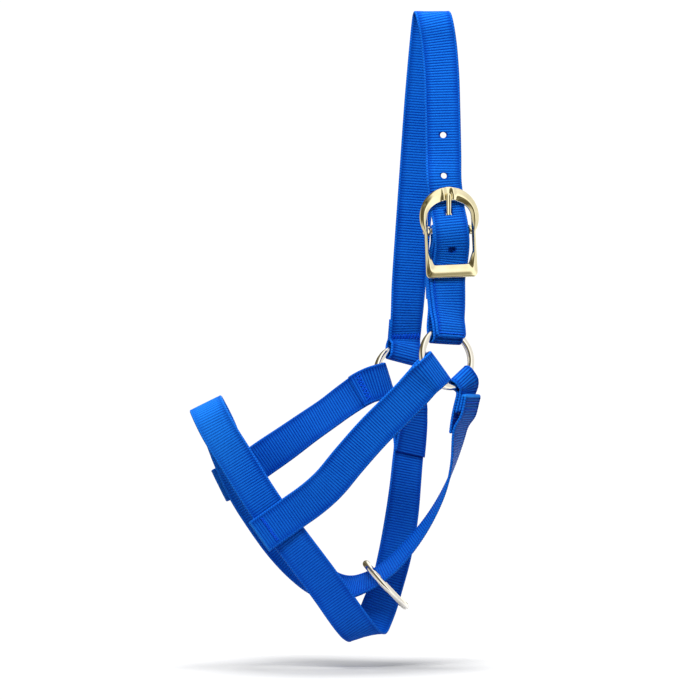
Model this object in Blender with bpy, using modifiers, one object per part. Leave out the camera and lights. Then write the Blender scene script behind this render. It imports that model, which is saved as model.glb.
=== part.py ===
"""Head halter of 25.4 mm webbing: crown strap with buckle, noseband, cheek straps, jaw tabs and rings.

The halter hangs from the top fold of its crown strap.  +Z is up, +X points to the back of the head,
and +Y points from the near side (with the buckle) to the far side.  The origin is the inner face of the
crown strap's top fold.  Lengths are in millimetres here, and become metres where a shape is made.
"""
import math

import bmesh
import bpy
import numpy as np
from mathutils import Matrix, Vector

MM = 0.001

# Webbing and thread
WEB_WIDTH = 25.4
WEB_THICK = 2.0
LAYER = WEB_THICK + 0.35            # from the middle of one sewn layer to the middle of the next
HALF_LAYER = LAYER / 2
THREAD_RADIUS = 0.35
THREAD_CLEAR = 0.3                  # from the webbing's face to the thread

# Rings
RING_MEAN = 20.5
RING_WIRE = 2.5
WIRE_LIFT = RING_WIRE + 0.35 + WEB_THICK / 2    # from the wire's centre to the middle of a loop's leg
NEAR_RING = np.array([10.3, -25.0, -246.3])
FAR_RING = np.array([-21.5, 25.0, -259.4])
LEAD_RING = np.array([-32.9, 0.0, -408.1])
LEAD_RING_NORMAL = np.array([0.74, 0.0, 0.68])

# Buckle, measured from the middle of its centre bar
BUCKLE_BAR = np.array([11.9, -17.0, -155.3])
BUCKLE_YAW = math.radians(10)
BUCKLE_ROLL = math.radians(-2.8)
BAR_RADIUS = 2.2
BAR_HALF_LENGTH = 19.0
BAR_LIFT = BAR_RADIUS + 0.35 + WEB_THICK / 2
FRAME_DEPTH = -4.0                  # the frame's middle plane lies in front of the bar
FRAME_THICK = 3.6
ARCH_CENTRE = 9.3
ARCH_OUTER = 21.4
ARCH_INNER = (15.8, 11.6)           # half width and height of the window's round top
WAIST_OUTER = 18.4
WAIST_INNER = 15.9
WAIST_HEIGHT = -1.5
FOOT = -33.6
FOOT_HALF_WIDTH = 18.6
FOOT_CORNER = 3.0
SILL = -24.2
SILL_HALF_WIDTH = 12.4
CHAMFER_START = -15.0
BOSS_SIZE = (4.6, 6.4, 6.8)
BOSS_CENTRE = (16.0, -0.2, 0.0)

# Tongue
TONGUE_WIDTH = 3.6
TONGUE_THICK = 2.2
TONGUE_SLOPE = -0.232               # depth gained per unit of height
TONGUE_TIP = 26.9
EYE_RADIUS = 4.2
EYE_BORE = BAR_RADIUS + 0.25
EYE_WIDTH = 5.6
TONGUE_CLEAR = 0.4

# Crown strap
CROWN_FOLD = 8.0                    # radius of the top fold, at the middle of the webbing
HOLE_RADIUS = 2.2
HOLE_HEIGHTS = (-87.4, -116.1, -169.1)
TAB_SLOT = (7.6, 16, 15)            # width, depth and height of the slot for the tongue's eye
CROWN_RETURN = 27                   # lengths turned back at the rings, and where the tab's layers end
CHEEK_RETURN = 23
JAW_OUTER = 26
JAW_INNER = 41
TAB_INNER_END = 16
TAB_BACK_END = 28

# Loops round the rings: angle on the ring, slack, and share of the width left where the webbing bunches
NEAR_CROWN_LOOP = (87, 0.0, 1.0)
NEAR_CHEEK_LOOP = (215, 2.2, 1.0)
NEAR_JAW_LOOP = (306, 0.0, 0.76)
FAR_CROWN_LOOP = (77, 0.0, 1.0)
FAR_CHEEK_LOOP = (192, 0.0, 1.0)
FAR_JAW_LOOP = (287, 0.0, 0.83)

HEM = 11.0                          # length of a hem's hidden tail
LEG_RUN = 5.6                       # how far a loop's legs run beside the wire before they close up
OVER_TAB = LAYER + 0.3
ROUTE_STEP = 1.0
HEAD_SMOOTHING = 16                 # passes that round off the corners of a route below the rings
CROWN_SMOOTHING = 8                 # and of a crown route, which keeps closer to its buckle
TURN_LIMIT = math.cos(math.radians(4))
LENGTH_LIMIT = 10.0

BLUE = (0.005, 0.08, 0.55, 1)
THREAD_BLUE = (0.01, 0.12, 0.7, 1)
NICKEL = (0.78, 0.76, 0.72, 1)
BRASS_NICKEL = (0.72, 0.66, 0.48, 1)


# --- small vector helpers -----------------------------------------------------------------------

def vec(x, y, z):
    return np.array([x, y, z], float)


def unit(v):
    v = np.asarray(v, float)
    return v / np.linalg.norm(v)


RING_AXIS = unit(FAR_RING - NEAR_RING)
RING_LEVEL = unit(np.cross(RING_AXIS, vec(0, 0, 1)))
RING_UP = np.cross(RING_LEVEL, RING_AXIS)


def ring_radial(angle):
    a = math.radians(angle)
    return math.cos(a) * RING_LEVEL + math.sin(a) * RING_UP


def ring_tangent(angle):
    return ring_radial(angle + 90)


def loop_controls(centre, loop, side, past=8.0):
    """A route's first controls, for a loop round a ring: straight out until its legs pass the wire."""
    angle, slack, share = loop
    half = share * WEB_WIDTH / 2
    reach = math.sqrt((RING_MEAN - RING_WIRE) ** 2 - half ** 2) + RING_WIRE - slack
    outward = ring_radial(angle)
    return [(centre + (reach + out) * outward, side * ring_tangent(angle), share)
            for out in (0, 0.4 * (past + slack), 0.75 * (past + slack), past + slack)]


def buckle_matrix():
    turn = Matrix.Rotation(BUCKLE_YAW, 4, 'Z') @ Matrix.Rotation(BUCKLE_ROLL, 4, 'Y')
    return Matrix.Translation(Vector(BUCKLE_BAR * MM)) @ turn


def buckle_point(x, depth, height):
    """A point given from the bar's middle: along the bar, away from the viewer, and up."""
    turn = np.array(buckle_matrix().to_3x3())
    return BUCKLE_BAR + turn @ vec(x, depth, height)


def bar_direction():
    return np.array(buckle_matrix().to_3x3())[:, 0]


# --- routes that the webbing follows --------------------------------------------------------------

class Route:
    """A smooth line that carries the webbing's across direction and its share of the full width."""

    def __init__(self, controls, smoothing=HEAD_SMOOTHING):
        rows = np.array([np.hstack([c[0], unit(c[1]), c[2] if len(c) > 2 else 1.0]) for c in controls])
        gaps = np.linalg.norm(np.diff(rows[:, :3], axis=0), axis=1)
        knots = np.hstack([0, np.cumsum(gaps)])
        slopes = np.gradient(rows, knots, axis=0)
        dense = [rows[0]]
        for i, gap in enumerate(gaps):
            count = max(2, math.ceil(gap / ROUTE_STEP))
            for k in range(1, count + 1):
                dense.append(hermite(rows[i], rows[i + 1], slopes[i] * gap, slopes[i + 1] * gap, k / count))
        dense = np.array(dense)
        for _ in range(smoothing):
            dense[1:-1] = (dense[:-2] + 2 * dense[1:-1] + dense[2:]) / 4
        self.point = dense[:, :3]
        self.share = dense[:, 6]
        steps = np.linalg.norm(np.diff(self.point, axis=0), axis=1)
        self.along = np.hstack([0, np.cumsum(steps)])
        tangent = np.gradient(self.point, self.along, axis=0)
        self.tangent = tangent / np.linalg.norm(tangent, axis=1)[:, None]
        across = dense[:, 3:6]
        across = across - np.sum(across * self.tangent, axis=1)[:, None] * self.tangent
        self.across = across / np.linalg.norm(across, axis=1)[:, None]
        self.normal = np.cross(self.tangent, self.across)
        self.length = self.along[-1]

    def read(self, values, s):
        return np.array([np.interp(s, self.along, values[:, k]) for k in range(3)])

    def at(self, s, lift=0.0):
        """Centre, across direction and width share at distance s, lifted along the normal."""
        past = s - min(max(s, 0), self.length)
        centre = self.read(self.point, s) + past * self.read(self.tangent, s)
        centre = centre + lift * unit(self.read(self.normal, s))
        return centre, unit(self.read(self.across, s)), float(np.interp(s, self.along, self.share))

    def at_height(self, z, start):
        """Distance along the route, past start, where it comes down to a height."""
        below = (self.along > start) & (self.point[:, 2] < z)
        return float(self.along[np.argmax(below)])


def hermite(a, b, slope_a, slope_b, t):
    return ((2 * t ** 3 - 3 * t ** 2 + 1) * a + (t ** 3 - 2 * t ** 2 + t) * slope_a
            + (3 * t ** 2 - 2 * t ** 3) * b + (t ** 3 - t ** 2) * slope_b)


def profile(*knots):
    """A lift that eases from one stated value to the next along a route."""
    def lift(s):
        if s <= knots[0][0]:
            return knots[0][1]
        for (s0, v0), (s1, v1) in zip(knots, knots[1:]):
            if s <= s1:
                t = (s - s0) / (s1 - s0)
                return v0 + (v1 - v0) * t * t * (3 - 2 * t)
        return knots[-1][1]
    return lift


def run(route, start, end, lift):
    """Stations along a route from one distance to another, lifted off it by lift(s)."""
    count = max(2, math.ceil(abs(end - start) / ROUTE_STEP) + 1)
    return [route.at(s, lift(s)) for s in np.linspace(start, end, count)]


def fold(route, s, lift_from, lift_to, outward):
    """Half a turn at distance s, from one lift to another; outward -1 bulges past the route's start."""
    centre, across, share = route.at(s, (lift_from + lift_to) / 2)
    normal = unit(route.read(route.normal, s))
    tangent = unit(route.read(route.tangent, s))
    radius = (lift_from - lift_to) / 2
    turns = [math.pi * k / 8 for k in range(1, 8)]
    return [(centre + radius * math.cos(a) * normal + abs(radius) * math.sin(a) * outward * tangent,
             across, share) for a in turns]


def thinned(stations):
    """The stations that a bent ribbon needs: fewer where it runs straight and flat."""
    kept = [stations[0]]
    anchor_direction = None
    for previous, here, following in zip(stations, stations[1:], stations[2:]):
        direction = unit(following[0] - previous[0])
        if anchor_direction is None:
            anchor_direction = direction
        step = np.linalg.norm(here[0] - kept[-1][0])
        turned = min(np.dot(direction, anchor_direction), np.dot(here[1], kept[-1][1])) < TURN_LIMIT
        if step > LENGTH_LIMIT or (turned and step > 0.6):
            kept.append(here)
            anchor_direction = direction
    kept.append(stations[-1])
    return kept


# --- objects --------------------------------------------------------------------------------------

def clear_scene():
    for item in list(bpy.data.objects):
        bpy.data.objects.remove(item, do_unlink=True)


def new_collection(name):
    made = bpy.data.collections.new(name)
    bpy.context.scene.collection.children.link(made)
    return made


def new_material(name, colour, roughness, metallic):
    made = bpy.data.materials.new(name)
    made.use_nodes = True
    shader = made.node_tree.nodes["Principled BSDF"]
    shader.inputs["Base Color"].default_value = colour
    shader.inputs["Roughness"].default_value = roughness
    shader.inputs["Metallic"].default_value = metallic
    return made


def new_pivot(name, matrix, collection):
    """An empty on a joint's axis, to which the pieces that turn about it are parented."""
    empty = bpy.data.objects.new(name, None)
    empty.empty_display_size = 0.01
    empty.matrix_world = matrix
    collection.objects.link(empty)
    return empty, matrix


def add_object(name, data, pivot, collection, material=None):
    """Adds an object whose data is in world space, parented to a pivot."""
    made = bpy.data.objects.new(name, data)
    collection.objects.link(made)
    empty, matrix = pivot
    data.transform(matrix.inverted())
    made.parent = empty
    if material is not None:
        data.materials.append(material)
    return made


def ribbon(name, stations, pivot, collection, material):
    """Webbing: a thin strip through the stations, thickened to both sides."""
    mesh = bpy.data.meshes.new(name)
    shape = bmesh.new()
    rows = []
    for centre, across, share in thinned(stations):
        half = share * WEB_WIDTH / 2
        rows.append([shape.verts.new(Vector((centre + k * half * across) * MM)) for k in (-1, 0, 1)])
    for lower, upper in zip(rows, rows[1:]):
        for k in (0, 1):
            shape.faces.new((lower[k], lower[k + 1], upper[k + 1], upper[k]))
    bmesh.ops.triangulate(shape, faces=shape.faces)
    shape.to_mesh(mesh)
    shape.free()
    made = add_object(name, mesh, pivot, collection, material)
    thick = made.modifiers.new("webbing thickness", 'SOLIDIFY')
    thick.thickness = WEB_THICK * MM
    thick.offset = 0
    thick.use_even_offset = True
    return made


def cutter(name, mesh, matrix, collection):
    made = bpy.data.objects.new(name, mesh)
    made.matrix_world = matrix
    made.hide_render = True
    made.display_type = 'WIRE'
    collection.objects.link(made)
    return made


def boolean(target, tool, operation='DIFFERENCE'):
    step = target.modifiers.new(tool.name, 'BOOLEAN')
    step.operation = operation
    step.object = tool


def box_mesh(name, size):
    mesh = bpy.data.meshes.new(name)
    shape = bmesh.new()
    bmesh.ops.create_cube(shape, size=1, matrix=Matrix.Diagonal(Vector([v * MM for v in size] + [1])))
    shape.to_mesh(mesh)
    shape.free()
    return mesh


def cylinder_mesh(name, radius, length, segments=20, turn=Matrix.Identity(4)):
    mesh = bpy.data.meshes.new(name)
    shape = bmesh.new()
    bmesh.ops.create_cone(shape, cap_ends=True, segments=segments, radius1=radius * MM, radius2=radius * MM,
                          depth=length * MM, matrix=turn)
    shape.to_mesh(mesh)
    shape.free()
    return mesh


def torus(name, pivot, collection, material):
    bpy.ops.mesh.primitive_torus_add(major_radius=RING_MEAN * MM, minor_radius=RING_WIRE * MM,
                                     major_segments=40, minor_segments=8)
    made = bpy.context.object
    made.name = name
    made.data.name = name
    for owner in list(made.users_collection):
        owner.objects.unlink(made)
    collection.objects.link(made)
    made.parent = pivot[0]
    made.data.materials.append(material)
    made.data.shade_smooth()
    return made


def seam(name, route, s, lift, pivot, collection, material, rows=7, depth=1.5):
    """One sewn row across the webbing: a zigzag thread just above the face at a given lift."""
    margin = 2.6
    points = []
    for k in range(rows + 1):
        centre, across, share = route.at(s + (depth / 2 if k % 2 else -depth / 2), lift)
        reach = share * (WEB_WIDTH / 2 - margin)
        points.append(centre + across * reach * (2 * k / rows - 1))
    curve = bpy.data.curves.new(name, 'CURVE')
    curve.dimensions = '3D'
    curve.bevel_depth = THREAD_RADIUS * MM
    curve.bevel_resolution = 0
    curve.use_fill_caps = True
    line = curve.splines.new('POLY')
    line.points.add(len(points) - 1)
    for spot, point in zip(line.points, points):
        spot.co = (*(point * MM), 1)
    return add_object(name, curve, pivot, collection, material)


def frame_from(centre, z_direction, x_direction):
    """A placement with its Z along z_direction and its X as near x_direction as it can be."""
    z = unit(z_direction)
    x = unit(x_direction - np.dot(x_direction, z) * z)
    y = np.cross(z, x)
    turn = Matrix([[x[k], y[k], z[k]] for k in range(3)]).to_4x4()
    return Matrix.Translation(Vector(centre * MM)) @ turn


# --- the routes of this halter --------------------------------------------------------------------

def crown_tab_route():
    """Middle of the buckle tab's stack, from the near ring up to the buckle's bar."""
    bar = bar_direction()
    return Route([
        *loop_controls(NEAR_RING, NEAR_CROWN_LOOP, -1),
        (vec(8.6, -15.4, -209), vec(0.93, 0.37, 0)),
        (buckle_point(-4.6, 4.4, -37), bar),
        (buckle_point(-4.0, 5.0, -29), bar),
        (buckle_point(-3.0, 4.5, -23), bar),
        (buckle_point(-1.7, 2.9, -16), bar),
        (buckle_point(-0.3, 1.2, -9.5), bar),
        (buckle_point(0.0, 0.15, -4.5), bar),
        (buckle_point(0.0, 0.0, 0), bar),
    ], CROWN_SMOOTHING)


def crown_route(tab):
    """Crown strap from the far ring, over the top, down through the buckle to its free end."""
    level = vec(1, 0, 0)
    bar = bar_direction()
    top = [(vec(x, CROWN_FOLD * math.cos(a), 1 - CROWN_FOLD + CROWN_FOLD * math.sin(a)), level)
           for x, a in zip((-1.6, -0.9, 0, 1.1, 2.6), np.linspace(0, math.pi, 5))]
    round_wire = -WIRE_LIFT - OVER_TAB
    over_tab = profile((0, round_wire), (LEG_RUN, round_wire), (16, -LAYER - OVER_TAB))
    beside_tab = profile((-2, 0.9), (42, 1.9))
    below = []
    for s in (42, 38, 34, 30, 26, 22, 18, 14, 11, 8, 4, 0, -2):
        centre, across, _ = tab.at(s, over_tab(s))
        below.append((centre + beside_tab(s) * across, across))
    return Route([
        *loop_controls(FAR_RING, FAR_CROWN_LOOP, -1),
        (vec(-18.4, 29.5, -222), vec(0.9, 0.42, 0)),
        (vec(-16.2, 26.5, -195), vec(0.97, 0.24, 0)),
        (vec(-12.8, 22.5, -150), vec(1, 0.05, 0)),
        (vec(-10.1, 19.5, -111.7), level),
        (vec(-6.6, 14.0, -62), level),
        (vec(-3.3, 9.8, -24), level),
        *top,
        (vec(4.8, -8.4, -20), level),
        (vec(6.6, -9.7, -40), level),
        (vec(7.6, -11.66, -70), level),
        (vec(8.2, -13.62, -100), level),
        (buckle_point(-1.6, 0.3, 34), bar),
        (buckle_point(-1.2, 0.3, 27), bar),
        (buckle_point(-0.8, 0.3, 21), bar),
        (buckle_point(-0.5, -0.25, 16.5), bar),
        (buckle_point(-0.2, -2.67, 11.5), bar),
        (buckle_point(0.2, -5.3, 6), bar),
        (buckle_point(0.5, -6.2, 0), bar),
        (buckle_point(0.9, -5.6, -6.5), bar),
        (buckle_point(1.0, -3.4, -13), bar),
        (buckle_point(0.1, -0.5, -22), bar),
        *below,
    ], CROWN_SMOOTHING)


def near_cheek_route():
    flat = vec(0.576, 0, -0.817)
    return Route([
        *loop_controls(NEAR_RING, NEAR_CHEEK_LOOP, 1),
        (vec(-11.5, -37.2, -267.5), vec(0.67, 0.1, -0.73)),
        (vec(-24.5, -36.4, -281.0), vec(0.69, 0.04, -0.72)),
        (vec(-40.8, -33.4, -297.4), vec(0.70, 0, -0.71)),
        (vec(-60.0, -29.6, -319.2), vec(0.72, 0, -0.70)),
        (vec(-74.0, -26.6, -336.0), vec(0.70, 0, -0.71)),
        (vec(-86.1, -23.9, -346.7), vec(0.63, 0, -0.77)),
        (vec(-97.9, -22.1, -355.1), flat),
        (vec(-107.0, -22.6, -361.6), flat),
        (vec(-113.5, -23.5, -366.2), flat),
        (vec(-121.4, -23.5, -371.8), flat),
    ])


def far_cheek_route():
    flat = vec(-0.51, 0, 0.86)
    return Route([
        *loop_controls(FAR_RING, FAR_CHEEK_LOOP, -1),
        (vec(-46.5, 10.7, -266.5), vec(-0.42, 0.2, 0.89)),
        (vec(-60.0, 12.2, -274.8), vec(-0.50, 0.38, 0.78)),
        (vec(-75.2, 15.6, -285.9), vec(-0.48, 0.45, 0.75)),
        (vec(-89.3, 18.8, -295.8), vec(-0.50, 0.40, 0.78)),
        (vec(-104.0, 21.6, -306.6), vec(-0.52, 0.25, 0.82)),
        (vec(-121.9, 22.9, -319.3), flat),
        (vec(-138.2, 23.5, -330.9), vec(-0.47, 0, 0.88)),
        (vec(-151.0, 23.5, -337.4), vec(-0.42, 0, 0.91)),
    ])


def near_jaw_route():
    """Middle of the near jaw tab's outer leg, from the near ring down."""
    return Route([
        *loop_controls(NEAR_RING, NEAR_JAW_LOOP, 1, 5.0),
        (vec(25.2, -20.6, -270.0), vec(0.58, 0.70, 0.32), 0.78),
        (vec(23.6, -20.0, -277.0), vec(0.52, 0.83, 0.10), 0.86),
        (vec(21.6, -19.2, -286.0), vec(0.46, 0.88, 0.00), 0.94),
        (vec(19.5, -17.8, -298.5), vec(0.40, 0.92, 0.00), 1.0),
        (vec(16.4, -15.2, -316.0), vec(0.20, 0.98, 0.02), 1.0),
    ])


def far_jaw_route():
    """Middle of the far jaw tab's outer leg, from the far ring down."""
    return Route([
        *loop_controls(FAR_RING, FAR_JAW_LOOP, -1, 5.5),
        (vec(-13.0, 24.3, -286.5), vec(-0.79, -0.57, -0.18), 0.88),
        (vec(-13.6, 23.6, -293.5), vec(-0.81, -0.57, -0.10), 0.94),
        (vec(-15.0, 22.2, -304.0), vec(-0.83, -0.55, -0.03), 1.0),
        (vec(-16.6, 19.8, -317.0), vec(-0.86, -0.50, 0.03), 1.0),
        (vec(-18.0, 16.6, -332.0), vec(-0.88, -0.47, 0.08), 1.0),
    ])


SEW_START = 14.0                    # where a jaw strap's hemmed end begins, along the tab's route


def nose_route(near_jaw, far_jaw):
    """The one long strap: near ring, chin, far side, over the nose, near side, chin, far ring."""
    onto_tab = profile((0, 2 * LAYER), (26, 2 * LAYER), (38, 0))

    def sewn(route, s):
        centre, across, share = route.at(s, onto_tab(s))
        return centre, across, share

    first = [sewn(near_jaw, s) for s in (SEW_START, 17, 20, 23, 26, 29, 32, 35, 38, 44)]
    last = [sewn(far_jaw, s) for s in (56, 50, 44, 38, 35, 32, 29, 26, 23, 20, 17, SEW_START)]
    last = [(centre, -across, share) for centre, across, share in last]
    far_half = vec(0.85, 0, 0.53)
    bend_width = vec(0.897, 0, 0.443)
    bend_out = vec(-0.443, 0, 0.897)
    bend_centre = vec(-153.9, 0, -293.8)
    bend = [(bend_centre + 17 * (math.cos(a) * vec(0, 1, 0) + math.sin(a) * bend_out), bend_width)
            for a in [math.pi * k / 6 for k in range(7)]]
    return Route([
        *first,
        (vec(16.4, -15.2, -316), vec(0.2, 0.98, 0.02)),
        (vec(10.3, -12.3, -336.7), vec(0, 1, 0.05)),
        (vec(-1.1, -10.0, -359.6), vec(-0.12, 0.97, 0.15), 0.95),
        (vec(-15.4, -8.0, -379.6), vec(-0.24, 0.93, 0.26), 0.88),
        (vec(-29.0, -6.2, -394.2), vec(-0.30, 0.88, 0.36), 0.84),
        (vec(-38.7, -4.6, -401.6), vec(-0.31, 0.87, 0.40), 0.84),
        (vec(-47.5, -1.8, -406.4), vec(-0.20, 0.84, 0.50), 0.86),
        (vec(-57.5, 3.0, -410.0), vec(0.02, 0.78, 0.62), 0.92),
        (vec(-67.5, 8.4, -410.6), vec(0.34, 0.62, 0.70), 1.0),
        (vec(-78.8, 13.6, -406.6), vec(0.66, 0.33, 0.66)),
        (vec(-92.2, 17.8, -396.4), vec(0.80, 0.10, 0.59)),
        (vec(-107.6, 20.0, -380.3), far_half),
        (vec(-121.1, 20.4, -361.7), far_half),
        (vec(-133.3, 20.0, -342.4), far_half),
        (vec(-144.0, 18.8, -319.0), far_half),
        *bend,
        (vec(-139.0, -18.9, -318.1), far_half),
        (vec(-117.1, -20.0, -352.8), far_half),
        (vec(-100.4, -20.0, -374.8), far_half),
        (vec(-73.0, -18.4, -411.5), far_half),
        (vec(-57.6, -15.8, -433.4), vec(0.88, -0.05, 0.45)),
        (vec(-52.0, -12.4, -440.4), vec(0.92, -0.15, 0.38)),
        (vec(-47.6, -5.4, -444.2), vec(0.93, -0.26, 0.30)),
        (vec(-44.2, 1.6, -441.6), vec(0.95, -0.20, 0.12)),
        (vec(-41.2, 4.8, -434.0), vec(0.96, -0.12, -0.08)),
        (vec(-37.0, 5.8, -423.0), vec(0.96, -0.08, -0.20)),
        (vec(-31.6, 6.6, -408.0), vec(0.96, -0.06, -0.26), 0.92),
        (vec(-26.6, 8.2, -388.9), vec(0.96, 0.10, -0.22), 0.95),
        (vec(-21.4, 11.4, -361.0), vec(0.93, 0.32, -0.14)),
        *last,
    ])


# --- webbing pieces -------------------------------------------------------------------------------

LOOP_SIDE = profile((0, WIRE_LIFT), (LEG_RUN, WIRE_LIFT), (14, HALF_LAYER))


def mirrored(lift):
    return lambda s: -lift(s)


def crown_strap(route):
    main = profile((0, -WIRE_LIFT), (LEG_RUN, -WIRE_LIFT), (14, -HALF_LAYER), (32, -HALF_LAYER), (60, 0))
    return (run(route, CROWN_RETURN, 0, LOOP_SIDE) + fold(route, 0, WIRE_LIFT, -WIRE_LIFT, -1)
            + run(route, 0, route.length, main))


def buckle_tab(route):
    """A strip that starts between its own legs, turns round the ring, then round the buckle's bar."""
    end = route.length
    inner = profile((0, WIRE_LIFT), (LEG_RUN, WIRE_LIFT), (22, 0))
    front = profile((0, -WIRE_LIFT), (LEG_RUN, -WIRE_LIFT), (16, -LAYER),
                    (end - 14, -LAYER), (end - 4, -BAR_LIFT))
    back = profile((TAB_BACK_END, LAYER), (end - 14, LAYER), (end - 4, BAR_LIFT))
    return (run(route, end - TAB_INNER_END, 0, inner) + fold(route, 0, WIRE_LIFT, -WIRE_LIFT, -1)
            + run(route, 0, end, front) + fold(route, end, -BAR_LIFT, BAR_LIFT, 1)
            + run(route, end, TAB_BACK_END, back))


def cheek_strap(route, slack):
    """Hemmed on the noseband, looped round the ring, and turned back along its own inner side."""
    end = route.length
    outer = profile((0, WIRE_LIFT), (LEG_RUN + slack, WIRE_LIFT), (14 + slack, HALF_LAYER))
    inner = mirrored(outer)
    flat = mirrored(lambda s: HALF_LAYER)
    return (run(route, end - HEM, end, flat) + fold(route, end, -HALF_LAYER, HALF_LAYER, 1)
            + run(route, end, 0, outer) + fold(route, 0, WIRE_LIFT, -WIRE_LIFT, -1)
            + run(route, 0, CHEEK_RETURN + slack, inner))


def jaw_tab(route):
    outer = profile((0, WIRE_LIFT), (4, WIRE_LIFT), (13, 0))
    inner = profile((0, -WIRE_LIFT), (4, -WIRE_LIFT), (13, -LAYER))
    return (run(route, JAW_OUTER, 0, outer) + fold(route, 0, WIRE_LIFT, -WIRE_LIFT, -1)
            + run(route, 0, JAW_INNER, inner))


def nose_jaw_strap(route):
    end = route.length
    hem = mirrored(lambda s: LAYER)
    level = profile((0, 0), (end, 0))
    return (run(route, HEM, 0, hem) + fold(route, 0, -LAYER, 0, -1) + run(route, 0, end, level)
            + fold(route, end, 0, -LAYER, 1) + run(route, end, end - HEM, hem))


# --- buckle ---------------------------------------------------------------------------------------

def arc(centre, radii, start, end, count):
    angles = [math.radians(start + (end - start) * k / count) for k in range(count + 1)]
    return [(centre[0] + radii[0] * math.cos(a), centre[1] + radii[1] * math.sin(a)) for a in angles]


def frame_outline():
    waist = math.degrees(math.asin(ARCH_CENTRE / ARCH_OUTER))
    left = -FOOT_HALF_WIDTH + FOOT_CORNER
    corner = (FOOT_CORNER, FOOT_CORNER)
    return (arc((0, ARCH_CENTRE), (ARCH_OUTER, ARCH_OUTER), -waist + 2, 180 + waist - 2, 26)
            + [(-WAIST_OUTER, WAIST_HEIGHT)]
            + arc((left, FOOT + FOOT_CORNER), corner, 180, 270, 4)
            + arc((-left, FOOT + FOOT_CORNER), corner, 270, 360, 4)
            + [(WAIST_OUTER, WAIST_HEIGHT)])


def window_outline():
    return (arc((0, ARCH_CENTRE), ARCH_INNER, 0, 180, 18)
            + [(-WAIST_INNER, 0), (-WAIST_INNER, CHAMFER_START), (-SILL_HALF_WIDTH, SILL),
               (SILL_HALF_WIDTH, SILL), (WAIST_INNER, CHAMFER_START), (WAIST_INNER, 0)])


def buckle_plate():
    """The cast frame's flat shape, as a mesh that stands upright in the buckle's own placement."""
    curve = bpy.data.curves.new("frame outline", 'CURVE')
    curve.dimensions = '2D'
    curve.fill_mode = 'BOTH'
    curve.extrude = FRAME_THICK / 2 * MM
    for outline in (frame_outline(), window_outline()):
        line = curve.splines.new('POLY')
        line.points.add(len(outline) - 1)
        line.use_cyclic_u = True
        for spot, (x, y) in zip(line.points, outline):
            spot.co = (x * MM, y * MM, 0, 1)
    flat = bpy.data.objects.new("frame outline", curve)
    bpy.context.scene.collection.objects.link(flat)
    bpy.context.view_layer.update()
    mesh = bpy.data.meshes.new_from_object(flat.evaluated_get(bpy.context.evaluated_depsgraph_get()))
    bpy.data.objects.remove(flat, do_unlink=True)
    shape = bmesh.new()
    shape.from_mesh(mesh)
    bmesh.ops.remove_doubles(shape, verts=shape.verts, dist=0.00001)
    bmesh.ops.recalc_face_normals(shape, faces=shape.faces)
    shape.to_mesh(mesh)
    shape.free()
    upright = Matrix.Rotation(math.radians(90), 4, 'X')
    mesh.transform(Matrix.Translation((0, FRAME_DEPTH * MM, 0)) @ upright)
    return mesh


def buckle_frame(pivot, collection, cutters, material):
    place = pivot[1]
    mesh = buckle_plate()
    mesh.transform(place)
    frame = add_object("buckle_frame", mesh, pivot, collection, material)
    boolean(frame, tongue_room(place, cutters))
    edge = frame.modifiers.new("cast edges", 'BEVEL')
    edge.width = 0.6 * MM
    edge.segments = 1
    edge.limit_method = 'ANGLE'
    edge.angle_limit = math.radians(50)
    for side in (-1, 1):
        spot = (side * BOSS_CENTRE[0], BOSS_CENTRE[1], BOSS_CENTRE[2])
        boss = cutter(f"boss_shape_{side}", box_mesh("boss", BOSS_SIZE),
                      place @ Matrix.Translation(Vector(spot) * MM), cutters)
        boolean(frame, boss, 'UNION')
    turn = Matrix.Rotation(math.radians(90), 4, 'Y')
    bore = cutter("bar_bore", cylinder_mesh("bar bore", BAR_RADIUS + 0.3, 2 * BAR_HALF_LENGTH + 4, 16, turn),
                  place, cutters)
    boolean(frame, bore)
    return frame


def tongue_placement(place):
    lean = Matrix.Rotation(-math.atan(TONGUE_SLOPE), 4, 'X')
    return place @ lean


def tongue_room(place, cutters):
    """The space round the tongue's shank, which the strap and the frame keep clear."""
    length = 22.0
    size = (TONGUE_WIDTH + 2 * TONGUE_CLEAR, TONGUE_THICK + 2 * TONGUE_CLEAR, length)
    middle = TONGUE_TIP + 0.9 - length / 2
    return cutter("tongue_room", box_mesh("tongue room", size),
                  tongue_placement(place) @ Matrix.Translation((0, 0, middle * MM)), cutters)


def buckle_tongue(pivot, collection, cutters, material):
    place = tongue_placement(pivot[1])
    turn = Matrix.Rotation(math.radians(90), 4, 'Y')
    eye = cylinder_mesh("buckle_tongue", EYE_RADIUS, EYE_WIDTH, 24, turn)
    eye.transform(place)
    tongue = add_object("buckle_tongue", eye, pivot, collection, material)
    start = 3.2
    length = TONGUE_TIP - start
    shank = cutter("tongue_shank", box_mesh("tongue shank", (TONGUE_WIDTH, TONGUE_THICK, length)),
                   place @ Matrix.Translation((0, 0, (start + length / 2) * MM)), cutters)
    boolean(tongue, shank, 'UNION')
    bore = cutter("eye_bore", cylinder_mesh("eye bore", EYE_BORE, EYE_WIDTH + 4, 20, turn), place, cutters)
    boolean(tongue, bore)
    return tongue


def buckle_bar(pivot, collection, material):
    turn = Matrix.Rotation(math.radians(90), 4, 'Y')
    mesh = cylinder_mesh("buckle_bar", BAR_RADIUS, 2 * BAR_HALF_LENGTH, 16, turn)
    mesh.transform(pivot[1])
    return add_object("buckle_bar", mesh, pivot, collection, material)


# --- the halter -----------------------------------------------------------------------------------

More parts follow.
